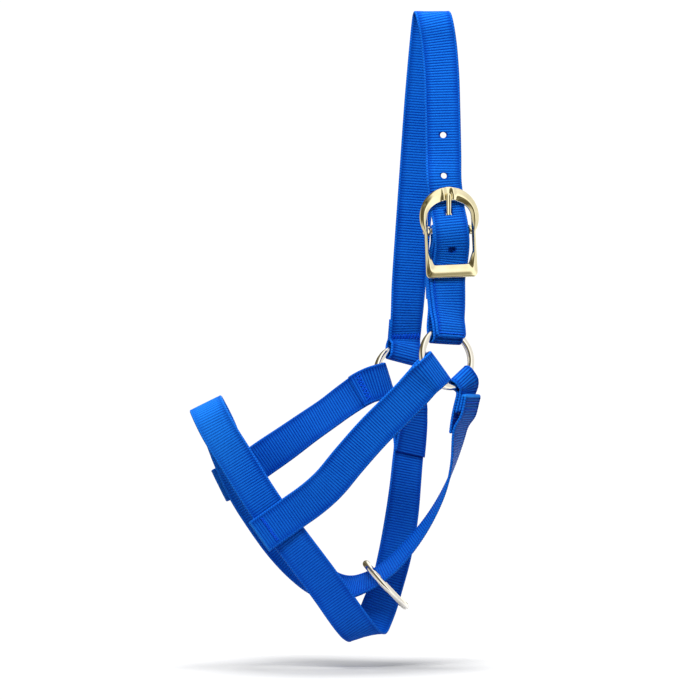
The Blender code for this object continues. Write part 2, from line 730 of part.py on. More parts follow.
def punch_crown(strap, route, cutters):
    """The round adjusting holes, and the one that the tongue stands in."""
    for height in HOLE_HEIGHTS:
        s = route.at_height(height, route.length / 2)
        centre, across, _ = route.at(s)
        normal = unit(route.read(route.normal, s))
        hole = cutter(f"hole_{-height:.0f}", cylinder_mesh("hole", HOLE_RADIUS, 8, 16),
                      frame_from(centre, normal, across), cutters)
        boolean(strap, hole)
    boolean(strap, bpy.data.objects["tongue_room"])


def slot_tab(tab, place, cutters):
    """The slot at the bar that the tongue's eye turns in."""
    slot = cutter("tab_slot", box_mesh("tab slot", TAB_SLOT), place, cutters)
    boolean(tab, slot)


def build():
    clear_scene()
    parts = new_collection("head_halter")
    cutters = new_collection("cutters")
    blue = new_material("blue webbing", BLUE, 0.8, 0)
    thread = new_material("blue thread", THREAD_BLUE, 0.6, 0)
    nickel = new_material("nickel", NICKEL, 0.2, 1)
    brass = new_material("brass nickel", BRASS_NICKEL, 0.25, 1)

    crown_pivot = new_pivot("crown_top", Matrix.Identity(4), parts)
    head_pivot = new_pivot("head_pivot", frame_from(NEAR_RING, RING_AXIS, RING_LEVEL), parts)
    far_pivot = new_pivot("far_ring_pivot", frame_from(FAR_RING, RING_AXIS, RING_LEVEL), parts)
    lead_pivot = new_pivot("lead_ring_pivot", frame_from(LEAD_RING, LEAD_RING_NORMAL, vec(0, 1, 0)), parts)
    buckle_pivot = new_pivot("buckle_pivot", buckle_matrix(), parts)

    tab_line = crown_tab_route()
    crown_line = crown_route(tab_line)
    near_cheek_line = near_cheek_route()
    far_cheek_line = far_cheek_route()
    near_jaw_line = near_jaw_route()
    far_jaw_line = far_jaw_route()
    nose_line = nose_route(near_jaw_line, far_jaw_line)

    buckle_frame(buckle_pivot, parts, cutters, brass)
    buckle_bar(buckle_pivot, parts, nickel)
    buckle_tongue(buckle_pivot, parts, cutters, brass)
    crown = ribbon("crown_strap", crown_strap(crown_line), crown_pivot, parts, blue)
    punch_crown(crown, crown_line, cutters)
    tab = ribbon("buckle_tab", buckle_tab(tab_line), crown_pivot, parts, blue)
    slot_tab(tab, buckle_pivot[1], cutters)
    ribbon("near_cheek_strap", cheek_strap(near_cheek_line, NEAR_CHEEK_LOOP[1]), head_pivot, parts, blue)
    ribbon("far_cheek_strap", cheek_strap(far_cheek_line, FAR_CHEEK_LOOP[1]), head_pivot, parts, blue)
    ribbon("near_jaw_tab", jaw_tab(near_jaw_line), head_pivot, parts, blue)
    ribbon("far_jaw_tab", jaw_tab(far_jaw_line), head_pivot, parts, blue)
    ribbon("nose_jaw_strap", nose_jaw_strap(nose_line), head_pivot, parts, blue)

    torus("near_ring", head_pivot, parts, nickel)
    torus("far_ring", far_pivot, parts, nickel)
    torus("lead_ring", lead_pivot, parts, nickel)

    face = WEB_THICK / 2 + THREAD_CLEAR + THREAD_RADIUS
    crown_end = crown_line.length
    nose_end = nose_line.length
    seam("crown_ring_seam", crown_line, 15, -HALF_LAYER - face, crown_pivot, parts, thread)
    seam("crown_tip_seam", crown_line, crown_end - 3.4, face, crown_pivot, parts, thread)
    seam("buckle_tab_seam", tab_line, 33, LAYER + face, crown_pivot, parts, thread)
    seam("near_cheek_ring_seam", near_cheek_line, 19, -HALF_LAYER - face, head_pivot, parts, thread)
    seam("far_cheek_ring_seam", far_cheek_line, 17, -HALF_LAYER - face, head_pivot, parts, thread)
    seam("near_cheek_nose_seam", near_cheek_line, near_cheek_line.length - 6, HALF_LAYER + face, head_pivot,
         parts, thread)
    seam("far_cheek_nose_seam", far_cheek_line, far_cheek_line.length - 6, HALF_LAYER + face, head_pivot,
         parts, thread)
    seam("near_jaw_seam", nose_line, 4, face, head_pivot, parts, thread)
    seam("far_jaw_seam", nose_line, nose_end - 4, face, head_pivot, parts, thread)


build()
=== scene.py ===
import math

import bmesh
import bpy
import numpy as np
from mathutils import Matrix, Vector


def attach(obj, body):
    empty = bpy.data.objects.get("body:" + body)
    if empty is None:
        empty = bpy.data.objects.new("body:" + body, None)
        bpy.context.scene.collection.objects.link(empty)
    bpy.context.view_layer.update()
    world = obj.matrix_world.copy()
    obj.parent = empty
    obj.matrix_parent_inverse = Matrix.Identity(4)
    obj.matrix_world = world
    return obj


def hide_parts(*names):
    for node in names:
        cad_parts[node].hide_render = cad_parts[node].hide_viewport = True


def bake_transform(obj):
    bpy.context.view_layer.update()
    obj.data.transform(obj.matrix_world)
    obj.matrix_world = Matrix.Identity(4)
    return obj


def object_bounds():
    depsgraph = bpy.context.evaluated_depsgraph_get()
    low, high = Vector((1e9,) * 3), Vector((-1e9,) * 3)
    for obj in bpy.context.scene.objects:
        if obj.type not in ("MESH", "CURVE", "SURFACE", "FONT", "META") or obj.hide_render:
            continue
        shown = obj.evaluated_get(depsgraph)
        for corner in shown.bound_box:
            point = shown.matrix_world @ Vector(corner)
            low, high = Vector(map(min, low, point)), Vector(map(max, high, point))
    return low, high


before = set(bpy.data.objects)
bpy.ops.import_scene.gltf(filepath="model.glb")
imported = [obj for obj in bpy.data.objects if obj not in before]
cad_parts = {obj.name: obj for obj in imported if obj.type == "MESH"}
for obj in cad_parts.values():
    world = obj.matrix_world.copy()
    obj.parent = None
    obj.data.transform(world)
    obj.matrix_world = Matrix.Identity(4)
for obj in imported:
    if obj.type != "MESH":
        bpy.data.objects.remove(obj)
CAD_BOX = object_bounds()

MM = 0.001

# Webbing
WEB_WIDTH = 25.4
WEB_THICK = 2.0
LAYER = WEB_THICK + 0.35  # from the middle of one sewn layer to the middle of the next
HALF_LAYER = LAYER / 2

# Rings
RING_MEAN = 20.5
RING_WIRE = 2.5
WIRE_LIFT = RING_WIRE + 0.35 + WEB_THICK / 2  # from the wire's centre to the middle of a loop's leg
NEAR_RING = np.array([10.3, -25.0, -246.3])
FAR_RING = np.array([-21.5, 25.0, -259.4])
LEAD_RING = np.array([-32.9, 0.0, -408.1])
LEAD_RING_NORMAL = np.array([0.74, 0.0, 0.68])

# Buckle, measured from the middle of its centre bar
BUCKLE_BAR = np.array([11.9, -17.0, -155.3])
BUCKLE_YAW = math.radians(10)
BUCKLE_ROLL = math.radians(-2.8)
BAR_RADIUS = 2.2
BAR_HALF_LENGTH = 19.0
BAR_LIFT = BAR_RADIUS + 0.35 + WEB_THICK / 2
ARCH_CENTRE = 9.3
ARCH_OUTER = 21.4
ARCH_INNER = (15.8, 11.6)  # half width and height of the window's round top
WAIST_OUTER = 18.4
WAIST_INNER = 15.9
WAIST_HEIGHT = -1.5
FOOT = -33.6
FOOT_HALF_WIDTH = 18.6
FOOT_CORNER = 3.0
SILL = -24.2
SILL_HALF_WIDTH = 12.4
CHAMFER_START = -15.0

# Tongue
TONGUE_WIDTH = 3.6
TONGUE_THICK = 2.2
TONGUE_SLOPE = -0.232  # depth gained per unit of height
TONGUE_TIP = 26.9
EYE_RADIUS = 4.2
EYE_BORE = BAR_RADIUS + 0.25
EYE_WIDTH = 5.6
TONGUE_CLEAR = 0.4

# Crown strap
CROWN_FOLD = 8.0  # radius of the top fold, at the middle of the webbing
HOLE_RADIUS = 2.2
HOLE_SIDES = 40
HOLE_DEPTH = 8.0  # length of the shape that cuts a hole, longer than the webbing is thick
HOLE_HEIGHTS = (-87.4, -116.1, -169.1)
TAB_SLOT = (7.6, 16, 15)  # width, depth and height of the slot for the tongue's eye
CROWN_RETURN = 27  # lengths turned back at the rings, and where the tab's layers end
CHEEK_RETURN = 23
JAW_OUTER = 26
JAW_INNER = 41
TAB_INNER_END = 16
TAB_BACK_END = 28

# Loops round the rings: angle on the ring, slack, and share of the width left where the webbing bunches
NEAR_CROWN_LOOP = (87, 0.0, 1.0)
NEAR_CHEEK_LOOP = (215, 2.2, 1.0)
NEAR_JAW_LOOP = (306, 0.0, 0.76)
FAR_CROWN_LOOP = (77, 0.0, 1.0)
FAR_CHEEK_LOOP = (192, 0.0, 1.0)
FAR_JAW_LOOP = (287, 0.0, 0.83)

ROUTE_STEP = 1.0
LEAST_STEP = 0.05  # stations closer than this count as one

# The webbing's weave
RIB_PITCH = 1.9
ROWS_PER_RIB = 5
RIB_HEIGHT = 0.30
RIB_HALF_THICK = 0.74  # from the webbing's middle to the bottom of the valleys between ribs
EDGE_BEAD = 1.7  # width of the woven edge
RIB_ROUND = 0.7  # powers that round the ribs and the edge's picks, 1 being a sine
BEAD_ROUND = 0.8
BEAD_FALL = 1.1  # reach of the edge's rounding, from the rim
BEAD_GROOVE = 0.10  # depth of the groove between ribs and woven edge, and the share of the painted rib highlight left in it, which paints shade into the groove
GROOVE_RIB_LIGHT = 0.55
SEAL_REACH = 0.9  # length over which a cut end is melted round
SEAL_LEAST = 0.05
TIP_CORNER = 4.0  # corner radius of the crown's free end
EDGE_COLUMNS = (0.45, 0.85, 1.25)  # columns of points in from the rim, then across the middle
FLAT_COLUMNS = (-7.2, -3.6, 0, 3.6, 7.2)
FOLD_TURN = (0.35, 0.70)  # radians of turn per mm where a fold starts to be painted paler as a highlight, and in full

HEM = 11.0
LEG_RUN = 5.6
OVER_TAB = LAYER + 0.3
HEAD_SMOOTHING = 16
CROWN_SMOOTHING = 8
SEW_START = 14.0


def vec(x, y, z):
    return np.array([x, y, z], float)


def unit(v):
    v = np.asarray(v, float)
    return v / np.linalg.norm(v)


def circle(count):
    return [2 * math.pi * k / count for k in range(count)]


def spans(rows):
    """The gaps between rows' points, the distances along them, and the rows' slopes."""
    gaps = np.linalg.norm(np.diff(rows[:, :3], axis=0), axis=1)
    knots = np.hstack([0, np.cumsum(gaps)])
    return gaps, knots, np.gradient(rows, knots, axis=0)


def directions(point, along, across):
    """A line's unit tangents, its across directions made square to them, and its normals."""
    tangent = np.gradient(point, along, axis=0)
    tangent = tangent / np.linalg.norm(tangent, axis=1)[:, None]
    across = across - np.sum(across * tangent, axis=1)[:, None] * tangent
    across = across / np.linalg.norm(across, axis=1)[:, None]
    return tangent, across, np.cross(tangent, across)


RING_AXIS = unit(FAR_RING - NEAR_RING)
RING_LEVEL = unit(np.cross(RING_AXIS, vec(0, 0, 1)))
RING_UP = np.cross(RING_LEVEL, RING_AXIS)
BUCKLE_PLACE = Matrix.Translation(Vector(BUCKLE_BAR * MM)) @ (
    Matrix.Rotation(BUCKLE_YAW, 4, 'Z') @ Matrix.Rotation(BUCKLE_ROLL, 4, 'Y'))
BUCKLE_TURN = np.array(BUCKLE_PLACE.to_3x3())


def ring_radial(angle):
    a = math.radians(angle)
    return math.cos(a) * RING_LEVEL + math.sin(a) * RING_UP


def ring_tangent(angle):
    return ring_radial(angle + 90)


def loop_controls(centre, loop, side, past=8.0):
    """A route's first controls, for a loop round a ring: straight out until its legs pass the wire."""
    angle, slack, share = loop
    half = share * WEB_WIDTH / 2
    reach = math.sqrt((RING_MEAN - RING_WIRE) ** 2 - half ** 2) + RING_WIRE - slack
    outward = ring_radial(angle)
    return [(centre + (reach + out) * outward, side * ring_tangent(angle), share)
            for out in (0, 0.4 * (past + slack), 0.75 * (past + slack), past + slack)]


def buckle_point(x, depth, height):
    """A point given from the bar's middle: along the bar, away from the viewer, and up."""
    return BUCKLE_BAR + BUCKLE_TURN @ vec(x, depth, height)


# --- routes that the webbing follows ---

class Route:
    """A smooth line that carries the webbing's across direction and its share of the full width."""

    def __init__(self, controls, smoothing=HEAD_SMOOTHING):
        rows = np.array([np.hstack([c[0], unit(c[1]), c[2] if len(c) > 2 else 1.0]) for c in controls])
        gaps, _, slopes = spans(rows)
        dense = [rows[0]]
        for i, gap in enumerate(gaps):
            count = max(2, math.ceil(gap / ROUTE_STEP))
            for k in range(1, count + 1):
                dense.append(hermite(rows[i], rows[i + 1], slopes[i] * gap, slopes[i + 1] * gap, k / count))
        dense = np.array(dense)
        for _ in range(smoothing):
            dense[1:-1] = (dense[:-2] + 2 * dense[1:-1] + dense[2:]) / 4
        self.point = dense[:, :3]
        self.share = dense[:, 6]
        self.along = spans(dense)[1]
        self.tangent, self.across, self.normal = directions(self.point, self.along, dense[:, 3:6])
        self.length = self.along[-1]

    def read(self, values, s):
        return np.array([np.interp(s, self.along, values[:, k]) for k in range(3)])

    def at(self, s, lift=0.0):
        """Centre, across direction and width share at distance s, lifted along the normal."""
        past = s - min(max(s, 0), self.length)
        centre = self.read(self.point, s) + past * self.read(self.tangent, s)
        centre = centre + lift * unit(self.read(self.normal, s))
        return centre, unit(self.read(self.across, s)), float(np.interp(s, self.along, self.share))

    def at_height(self, z, start):
        """Distance along the route, past start, where it comes down to a height."""
        below = (self.along > start) & (self.point[:, 2] < z)
        return float(self.along[np.argmax(below)])


def hermite(a, b, slope_a, slope_b, t):
    return ((2 * t ** 3 - 3 * t ** 2 + 1) * a + (t ** 3 - 2 * t ** 2 + t) * slope_a
            + (3 * t ** 2 - 2 * t ** 3) * b + (t ** 3 - t ** 2) * slope_b)


def profile(*knots):
    """A lift that eases from one stated value to the next along a route."""
    def lift(s):
        if s <= knots[0][0]:
            return knots[0][1]
        for (s0, v0), (s1, v1) in zip(knots, knots[1:]):
            if s <= s1:
                t = (s - s0) / (s1 - s0)
                return v0 + (v1 - v0) * t * t * (3 - 2 * t)
        return knots[-1][1]
    return lift


def run(route, start, end, lift):
    """Stations along a route from one distance to another, lifted off it by lift(s)."""
    count = max(2, math.ceil(abs(end - start) / ROUTE_STEP) + 1)
    return [route.at(s, lift(s)) for s in np.linspace(start, end, count)]


def fold(route, s, lift_from, lift_to, outward):
    """Half a turn at distance s, from one lift to another; outward -1 bulges past the route's start."""
    centre, across, share = route.at(s, (lift_from + lift_to) / 2)
    normal = unit(route.read(route.normal, s))
    tangent = unit(route.read(route.tangent, s))
    radius = (lift_from - lift_to) / 2
    turns = [math.pi * k / 8 for k in range(1, 8)]
    return [(centre + radius * math.cos(a) * normal + abs(radius) * math.sin(a) * outward * tangent,
             across, share) for a in turns]


def frame_from(centre, z_direction, x_direction):
    """A placement with its Z along z_direction and its X as near x_direction as it can be."""
    z = unit(z_direction)
    x = unit(x_direction - np.dot(x_direction, z) * z)
    y = np.cross(z, x)
    turn = Matrix([[x[k], y[k], z[k]] for k in range(3)]).to_4x4()
    return Matrix.Translation(Vector(centre * MM)) @ turn


def crown_tab_route():
    """Middle of the buckle tab's stack, from the near ring up to the buckle's bar."""
    bar = BUCKLE_TURN[:, 0]
    return Route([
        *loop_controls(NEAR_RING, NEAR_CROWN_LOOP, -1),
        ((8.6, -15.4, -209), (0.93, 0.37, 0)),
        (buckle_point(-4.6, 4.4, -37), bar),
        (buckle_point(-4.0, 5.0, -29), bar),
        (buckle_point(-3.0, 4.5, -23), bar),
        (buckle_point(-1.7, 2.9, -16), bar),
        (buckle_point(-0.3, 1.2, -9.5), bar),
        (buckle_point(0.0, 0.15, -4.5), bar),
        (buckle_point(0.0, 0.0, 0), bar),
    ], CROWN_SMOOTHING)


def crown_route(tab):
    """Crown strap from the far ring, over the top, down through the buckle to its free end."""
    level = (1, 0, 0)
    bar = BUCKLE_TURN[:, 0]
    top = [(vec(x, CROWN_FOLD * math.cos(a), 1 - CROWN_FOLD + CROWN_FOLD * math.sin(a)), level)
           for x, a in zip((-1.6, -0.9, 0, 1.1, 2.6), np.linspace(0, math.pi, 5))]
    round_wire = -WIRE_LIFT - OVER_TAB
    over_tab = profile((0, round_wire), (LEG_RUN, round_wire), (16, -LAYER - OVER_TAB))
    beside_tab = profile((-2, 0.9), (42, 1.9))
    below = []
    for s in (42, 38, 34, 30, 26, 22, 18, 14, 11, 8, 4, 0, -2):
        centre, across, _ = tab.at(s, over_tab(s))
        below.append((centre + beside_tab(s) * across, across))
    return Route([
        *loop_controls(FAR_RING, FAR_CROWN_LOOP, -1),
        ((-18.4, 29.5, -222), (0.9, 0.42, 0)),
        ((-16.2, 26.5, -195), (0.97, 0.24, 0)),
        ((-12.8, 22.5, -150), (1, 0.05, 0)),
        ((-10.1, 19.5, -111.7), level),
        ((-6.6, 14.0, -62), level),
        ((-3.3, 9.8, -24), level),
        *top,
        ((4.8, -8.4, -20), level),
        ((6.6, -9.7, -40), level),
        ((7.6, -11.66, -70), level),
        ((8.2, -13.62, -100), level),
        (buckle_point(-1.6, 0.3, 34), bar),
        (buckle_point(-1.2, 0.3, 27), bar),
        (buckle_point(-0.8, 0.3, 21), bar),
        (buckle_point(-0.5, -0.25, 16.5), bar),
        (buckle_point(-0.2, -2.67, 11.5), bar),
        (buckle_point(0.2, -5.3, 6), bar),
        (buckle_point(0.5, -6.2, 0), bar),
        (buckle_point(0.9, -5.6, -6.5), bar),
        (buckle_point(1.0, -3.4, -13), bar),
        (buckle_point(0.1, -0.5, -22), bar),
        *below,
    ], CROWN_SMOOTHING)


def near_cheek_route():
    flat = (0.576, 0, -0.817)
    return Route([
        *loop_controls(NEAR_RING, NEAR_CHEEK_LOOP, 1),
        ((-11.5, -37.2, -267.5), (0.67, 0.1, -0.73)),
        ((-24.5, -36.4, -281.0), (0.69, 0.04, -0.72)),
        ((-40.8, -33.4, -297.4), (0.70, 0, -0.71)),
        ((-60.0, -29.6, -319.2), (0.72, 0, -0.70)),
        ((-74.0, -26.6, -336.0), (0.70, 0, -0.71)),
        ((-86.1, -23.9, -346.7), (0.63, 0, -0.77)),
        ((-97.9, -22.1, -355.1), flat),
        ((-107.0, -22.6, -361.6), flat),
        ((-113.5, -23.5, -366.2), flat),
        ((-121.4, -23.5, -371.8), flat),
    ])


def far_cheek_route():
    flat = (-0.51, 0, 0.86)
    return Route([
        *loop_controls(FAR_RING, FAR_CHEEK_LOOP, -1),
        ((-46.5, 10.7, -266.5), (-0.42, 0.2, 0.89)),
        ((-60.0, 12.2, -274.8), (-0.50, 0.38, 0.78)),
        ((-75.2, 15.6, -285.9), (-0.48, 0.45, 0.75)),
        ((-89.3, 18.8, -295.8), (-0.50, 0.40, 0.78)),
        ((-104.0, 21.6, -306.6), (-0.52, 0.25, 0.82)),
        ((-121.9, 22.9, -319.3), flat),
        ((-138.2, 23.5, -330.9), (-0.47, 0, 0.88)),
        ((-151.0, 23.5, -337.4), (-0.42, 0, 0.91)),
    ])


def near_jaw_route():
    """Middle of the near jaw tab's outer leg, from the near ring down."""
    return Route([
        *loop_controls(NEAR_RING, NEAR_JAW_LOOP, 1, 5.0),
        ((25.2, -20.6, -270.0), (0.58, 0.70, 0.32), 0.78),
        ((23.6, -20.0, -277.0), (0.52, 0.83, 0.10), 0.86),
        ((21.6, -19.2, -286.0), (0.46, 0.88, 0.00), 0.94),
        ((19.5, -17.8, -298.5), (0.40, 0.92, 0.00), 1.0),
        ((16.4, -15.2, -316.0), (0.20, 0.98, 0.02), 1.0),
    ])


def far_jaw_route():
    """Middle of the far jaw tab's outer leg, from the far ring down."""
    return Route([
        *loop_controls(FAR_RING, FAR_JAW_LOOP, -1, 5.5),
        ((-13.0, 24.3, -286.5), (-0.79, -0.57, -0.18), 0.88),
        ((-13.6, 23.6, -293.5), (-0.81, -0.57, -0.10), 0.94),
        ((-15.0, 22.2, -304.0), (-0.83, -0.55, -0.03), 1.0),
        ((-16.6, 19.8, -317.0), (-0.86, -0.50, 0.03), 1.0),
        ((-18.0, 16.6, -332.0), (-0.88, -0.47, 0.08), 1.0),
    ])


def nose_route(near_jaw, far_jaw):
    """The one long strap: near ring, chin, far side, over the nose, near side, chin, far ring."""
    onto_tab = profile((0, 2 * LAYER), (26, 2 * LAYER), (38, 0))

    def sewn(route, s):
        return route.at(s, onto_tab(s))

    first = [sewn(near_jaw, s) for s in (SEW_START, 17, 20, 23, 26, 29, 32, 35, 38, 44)]
    last = [sewn(far_jaw, s) for s in (56, 50, 44, 38, 35, 32, 29, 26, 23, 20, 17, SEW_START)]
    last = [(centre, -across, share) for centre, across, share in last]
    far_half = (0.85, 0, 0.53)
    bend_width = (0.897, 0, 0.443)
    bend_out = vec(-0.443, 0, 0.897)
    bend_centre = vec(-153.9, 0, -293.8)
    bend = [(bend_centre + 17 * (math.cos(a) * vec(0, 1, 0) + math.sin(a) * bend_out), bend_width)
            for a in [math.pi * k / 6 for k in range(7)]]
    return Route([
        *first,
        ((16.4, -15.2, -316), (0.2, 0.98, 0.02)),
        ((10.3, -12.3, -336.7), (0, 1, 0.05)),
        ((-1.1, -10.0, -359.6), (-0.12, 0.97, 0.15), 0.95),
        ((-15.4, -8.0, -379.6), (-0.24, 0.93, 0.26), 0.88),
        ((-29.0, -6.2, -394.2), (-0.30, 0.88, 0.36), 0.84),
        ((-38.7, -4.6, -401.6), (-0.31, 0.87, 0.40), 0.84),
        ((-47.5, -1.8, -406.4), (-0.20, 0.84, 0.50), 0.86),
        ((-57.5, 3.0, -410.0), (0.02, 0.78, 0.62), 0.92),
        ((-67.5, 8.4, -410.6), (0.34, 0.62, 0.70), 1.0),
        ((-78.8, 13.6, -406.6), (0.66, 0.33, 0.66)),
        ((-92.2, 17.8, -396.4), (0.80, 0.10, 0.59)),
        ((-107.6, 20.0, -380.3), far_half),
        ((-121.1, 20.4, -361.7), far_half),
        ((-133.3, 20.0, -342.4), far_half),
        ((-144.0, 18.8, -319.0), far_half),
        *bend,
        ((-139.0, -18.9, -318.1), far_half),
        ((-117.1, -20.0, -352.8), far_half),
        ((-100.4, -20.0, -374.8), far_half),
        ((-73.0, -18.4, -411.5), far_half),
        ((-57.6, -15.8, -433.4), (0.88, -0.05, 0.45)),
        ((-52.0, -12.4, -440.4), (0.92, -0.15, 0.38)),
        ((-47.6, -5.4, -444.2), (0.93, -0.26, 0.30)),
        ((-44.2, 1.6, -441.6), (0.95, -0.20, 0.12)),
        ((-41.2, 4.8, -434.0), (0.96, -0.12, -0.08)),
        ((-37.0, 5.8, -423.0), (0.96, -0.08, -0.20)),
        ((-31.6, 6.6, -408.0), (0.96, -0.06, -0.26), 0.92),
        ((-26.6, 8.2, -388.9), (0.96, 0.10, -0.22), 0.95),
        ((-21.4, 11.4, -361.0), (0.93, 0.32, -0.14)),
        *last,
    ])


# --- webbing layouts ---

LOOP_SIDE = profile((0, WIRE_LIFT), (LEG_RUN, WIRE_LIFT), (14, HALF_LAYER))


def mirrored(lift):
    return lambda s: -lift(s)


def crown_strap(route):
    main = profile((0, -WIRE_LIFT), (LEG_RUN, -WIRE_LIFT), (14, -HALF_LAYER), (32, -HALF_LAYER), (60, 0))
    return (run(route, CROWN_RETURN, 0, LOOP_SIDE) + fold(route, 0, WIRE_LIFT, -WIRE_LIFT, -1)
            + run(route, 0, route.length, main))


def buckle_tab(route):
    """A strip that starts between its own legs, turns round the ring, then round the buckle's bar."""
    end = route.length
    inner = profile((0, WIRE_LIFT), (LEG_RUN, WIRE_LIFT), (22, 0))
    front = profile((0, -WIRE_LIFT), (LEG_RUN, -WIRE_LIFT), (16, -LAYER),
                    (end - 14, -LAYER), (end - 4, -BAR_LIFT))
    back = profile((TAB_BACK_END, LAYER), (end - 14, LAYER), (end - 4, BAR_LIFT))
    return (run(route, end - TAB_INNER_END, 0, inner) + fold(route, 0, WIRE_LIFT, -WIRE_LIFT, -1)
            + run(route, 0, end, front) + fold(route, end, -BAR_LIFT, BAR_LIFT, 1)
            + run(route, end, TAB_BACK_END, back))


def cheek_strap(route, slack):
    """Hemmed on the noseband, looped round the ring, and turned back along its own inner side."""
    end = route.length
    outer = profile((0, WIRE_LIFT), (LEG_RUN + slack, WIRE_LIFT), (14 + slack, HALF_LAYER))
    inner = mirrored(outer)
    flat = mirrored(lambda s: HALF_LAYER)
    return (run(route, end - HEM, end, flat) + fold(route, end, -HALF_LAYER, HALF_LAYER, 1)
            + run(route, end, 0, outer) + fold(route, 0, WIRE_LIFT, -WIRE_LIFT, -1)
            + run(route, 0, CHEEK_RETURN + slack, inner))


def jaw_tab(route):
    outer = profile((0, WIRE_LIFT), (4, WIRE_LIFT), (13, 0))
    inner = profile((0, -WIRE_LIFT), (4, -WIRE_LIFT), (13, -LAYER))
    return (run(route, JAW_OUTER, 0, outer) + fold(route, 0, WIRE_LIFT, -WIRE_LIFT, -1)
            + run(route, 0, JAW_INNER, inner))


def nose_jaw_strap(route):
    end = route.length
    hem = mirrored(lambda s: LAYER)
    level = profile((0, 0), (end, 0))
    return (run(route, HEM, 0, hem) + fold(route, 0, -LAYER, 0, -1) + run(route, 0, end, level)
            + fold(route, end, 0, -LAYER, 1) + run(route, end, end - HEM, hem))


# --- meshes ---

def tube_faces(rows, columns, closed, start):
    """Quads over rings of points; the last ring joins the first, or each end gets one face."""
    faces = []
    for i in range(rows if closed else rows - 1):
        for j in range(columns):
            a, b = i * columns, ((i + 1) % rows) * columns
            k = (j + 1) % columns
            faces.append((start + a + j, start + a + k, start + b + k, start + b + j))
    if not closed:
        faces.append(tuple(start + k for k in reversed(range(columns))))
        faces.append(tuple(start + (rows - 1) * columns + k for k in range(columns)))
    return faces


def mesh_of(grids, attributes=None):
    """One mesh of several tubes, each (rings of points in millimetres, whether it closes on itself)."""
    points, faces = [], []
    start = 0
    for grid, closed in grids:
        rows, columns = grid.shape[:2]
        points.append(grid.reshape(-1, 3))
        faces += tube_faces(rows, columns, closed, start)
        start += rows * columns
    mesh = bpy.data.meshes.new("piece")
    mesh.from_pydata((np.vstack(points) * MM).tolist(), [], faces)
    for key, values in (attributes or {}).items():
        layer = mesh.attributes.new(key, 'FLOAT', 'POINT')
        layer.data.foreach_set("value", np.asarray(values, np.float32).ravel())
    shape = bmesh.new()
    shape.from_mesh(mesh)
    bmesh.ops.recalc_face_normals(shape, faces=shape.faces)
    shape.to_mesh(mesh)
    shape.free()
    mesh.shade_smooth()
    return mesh


def add_piece(name, mesh, finish, node, body=None, cutters=()):
    """A piece that stands for a node; its finish is a material and a slot name, and the slot name is not
    used.
    """
    material, slot_name = finish
    mesh.name = name
    made = bpy.data.objects.new(name, mesh)
    bpy.context.scene.collection.objects.link(made)
    mesh.materials.append(material)
    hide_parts(node)
    if cutters:
        cut(made, cutters)
    if body:
        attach(made, body)
    return made


def cut(piece, cutters):
    """Takes the cutters' shapes out of a piece, and leaves a plain mesh."""
    for shape in cutters:
        step = piece.modifiers.new(shape.name, 'BOOLEAN')
        step.operation = 'DIFFERENCE'
        step.object = shape
    bpy.context.view_layer.update()
    graph = bpy.context.evaluated_depsgraph_get()
    result = bpy.data.meshes.new_from_object(piece.evaluated_get(graph), depsgraph=graph)
    piece.modifiers.clear()
    result.name = piece.name
    piece.data = result


def primitive(name, build, **settings):
    """A mesh made by one bmesh call."""
    mesh = bpy.data.meshes.new(name)
    shape = bmesh.new()
    build(shape, **settings)
    shape.to_mesh(mesh)
    shape.free()
    return mesh


def cutter(name, build, place, **settings):
    made = bpy.data.objects.new(name, primitive(name, build, **settings))
    made.matrix_world = place
    made.hide_render = True
    bpy.context.scene.collection.objects.link(made)
    return made


def box_cutter(name, size, place):
    return cutter(name, bmesh.ops.create_cube, place, size=1,
                  matrix=Matrix.Diagonal(Vector([v * MM for v in size] + [1])))


def hole_cutter(name, centre, axis, across):
    return cutter(name, bmesh.ops.create_cone, frame_from(centre, axis, across), cap_ends=True,
                  segments=HOLE_SIDES, radius1=HOLE_RADIUS * MM, radius2=HOLE_RADIUS * MM,
                  depth=HOLE_DEPTH * MM)


# --- webbing ---

def smooth_rows(stations, step):
    """Stations respaced evenly on a smooth line: arrays of centre, across direction and width share."""
    rows = np.array([np.hstack([c, unit(a), w]) for c, a, w in stations])
    steps = np.linalg.norm(np.diff(rows[:, :3], axis=0), axis=1)
    rows = rows[np.hstack([True, steps > LEAST_STEP])]
    gaps, knots, slopes = spans(rows)
    count = int(knots[-1] / step)
    places = np.linspace(0, knots[-1], count + 1)
    index = np.clip(np.searchsorted(knots, places, side='right') - 1, 0, len(gaps) - 1)
    gap = gaps[index][:, None]
    t = (places[:, None] - knots[index][:, None]) / gap
    fine = hermite(rows[index], rows[index + 1], slopes[index] * gap, slopes[index + 1] * gap, t)
    return fine[:, :3], fine[:, 3:6], fine[:, 6], places


def section_columns():
    """Across places of one face's columns, in millimetres from the middle."""
    half = WEB_WIDTH / 2
    edge = [half - x for x in (*EDGE_COLUMNS, EDGE_BEAD)]
    return [-x for x in edge] + list(FLAT_COLUMNS) + edge[::-1]


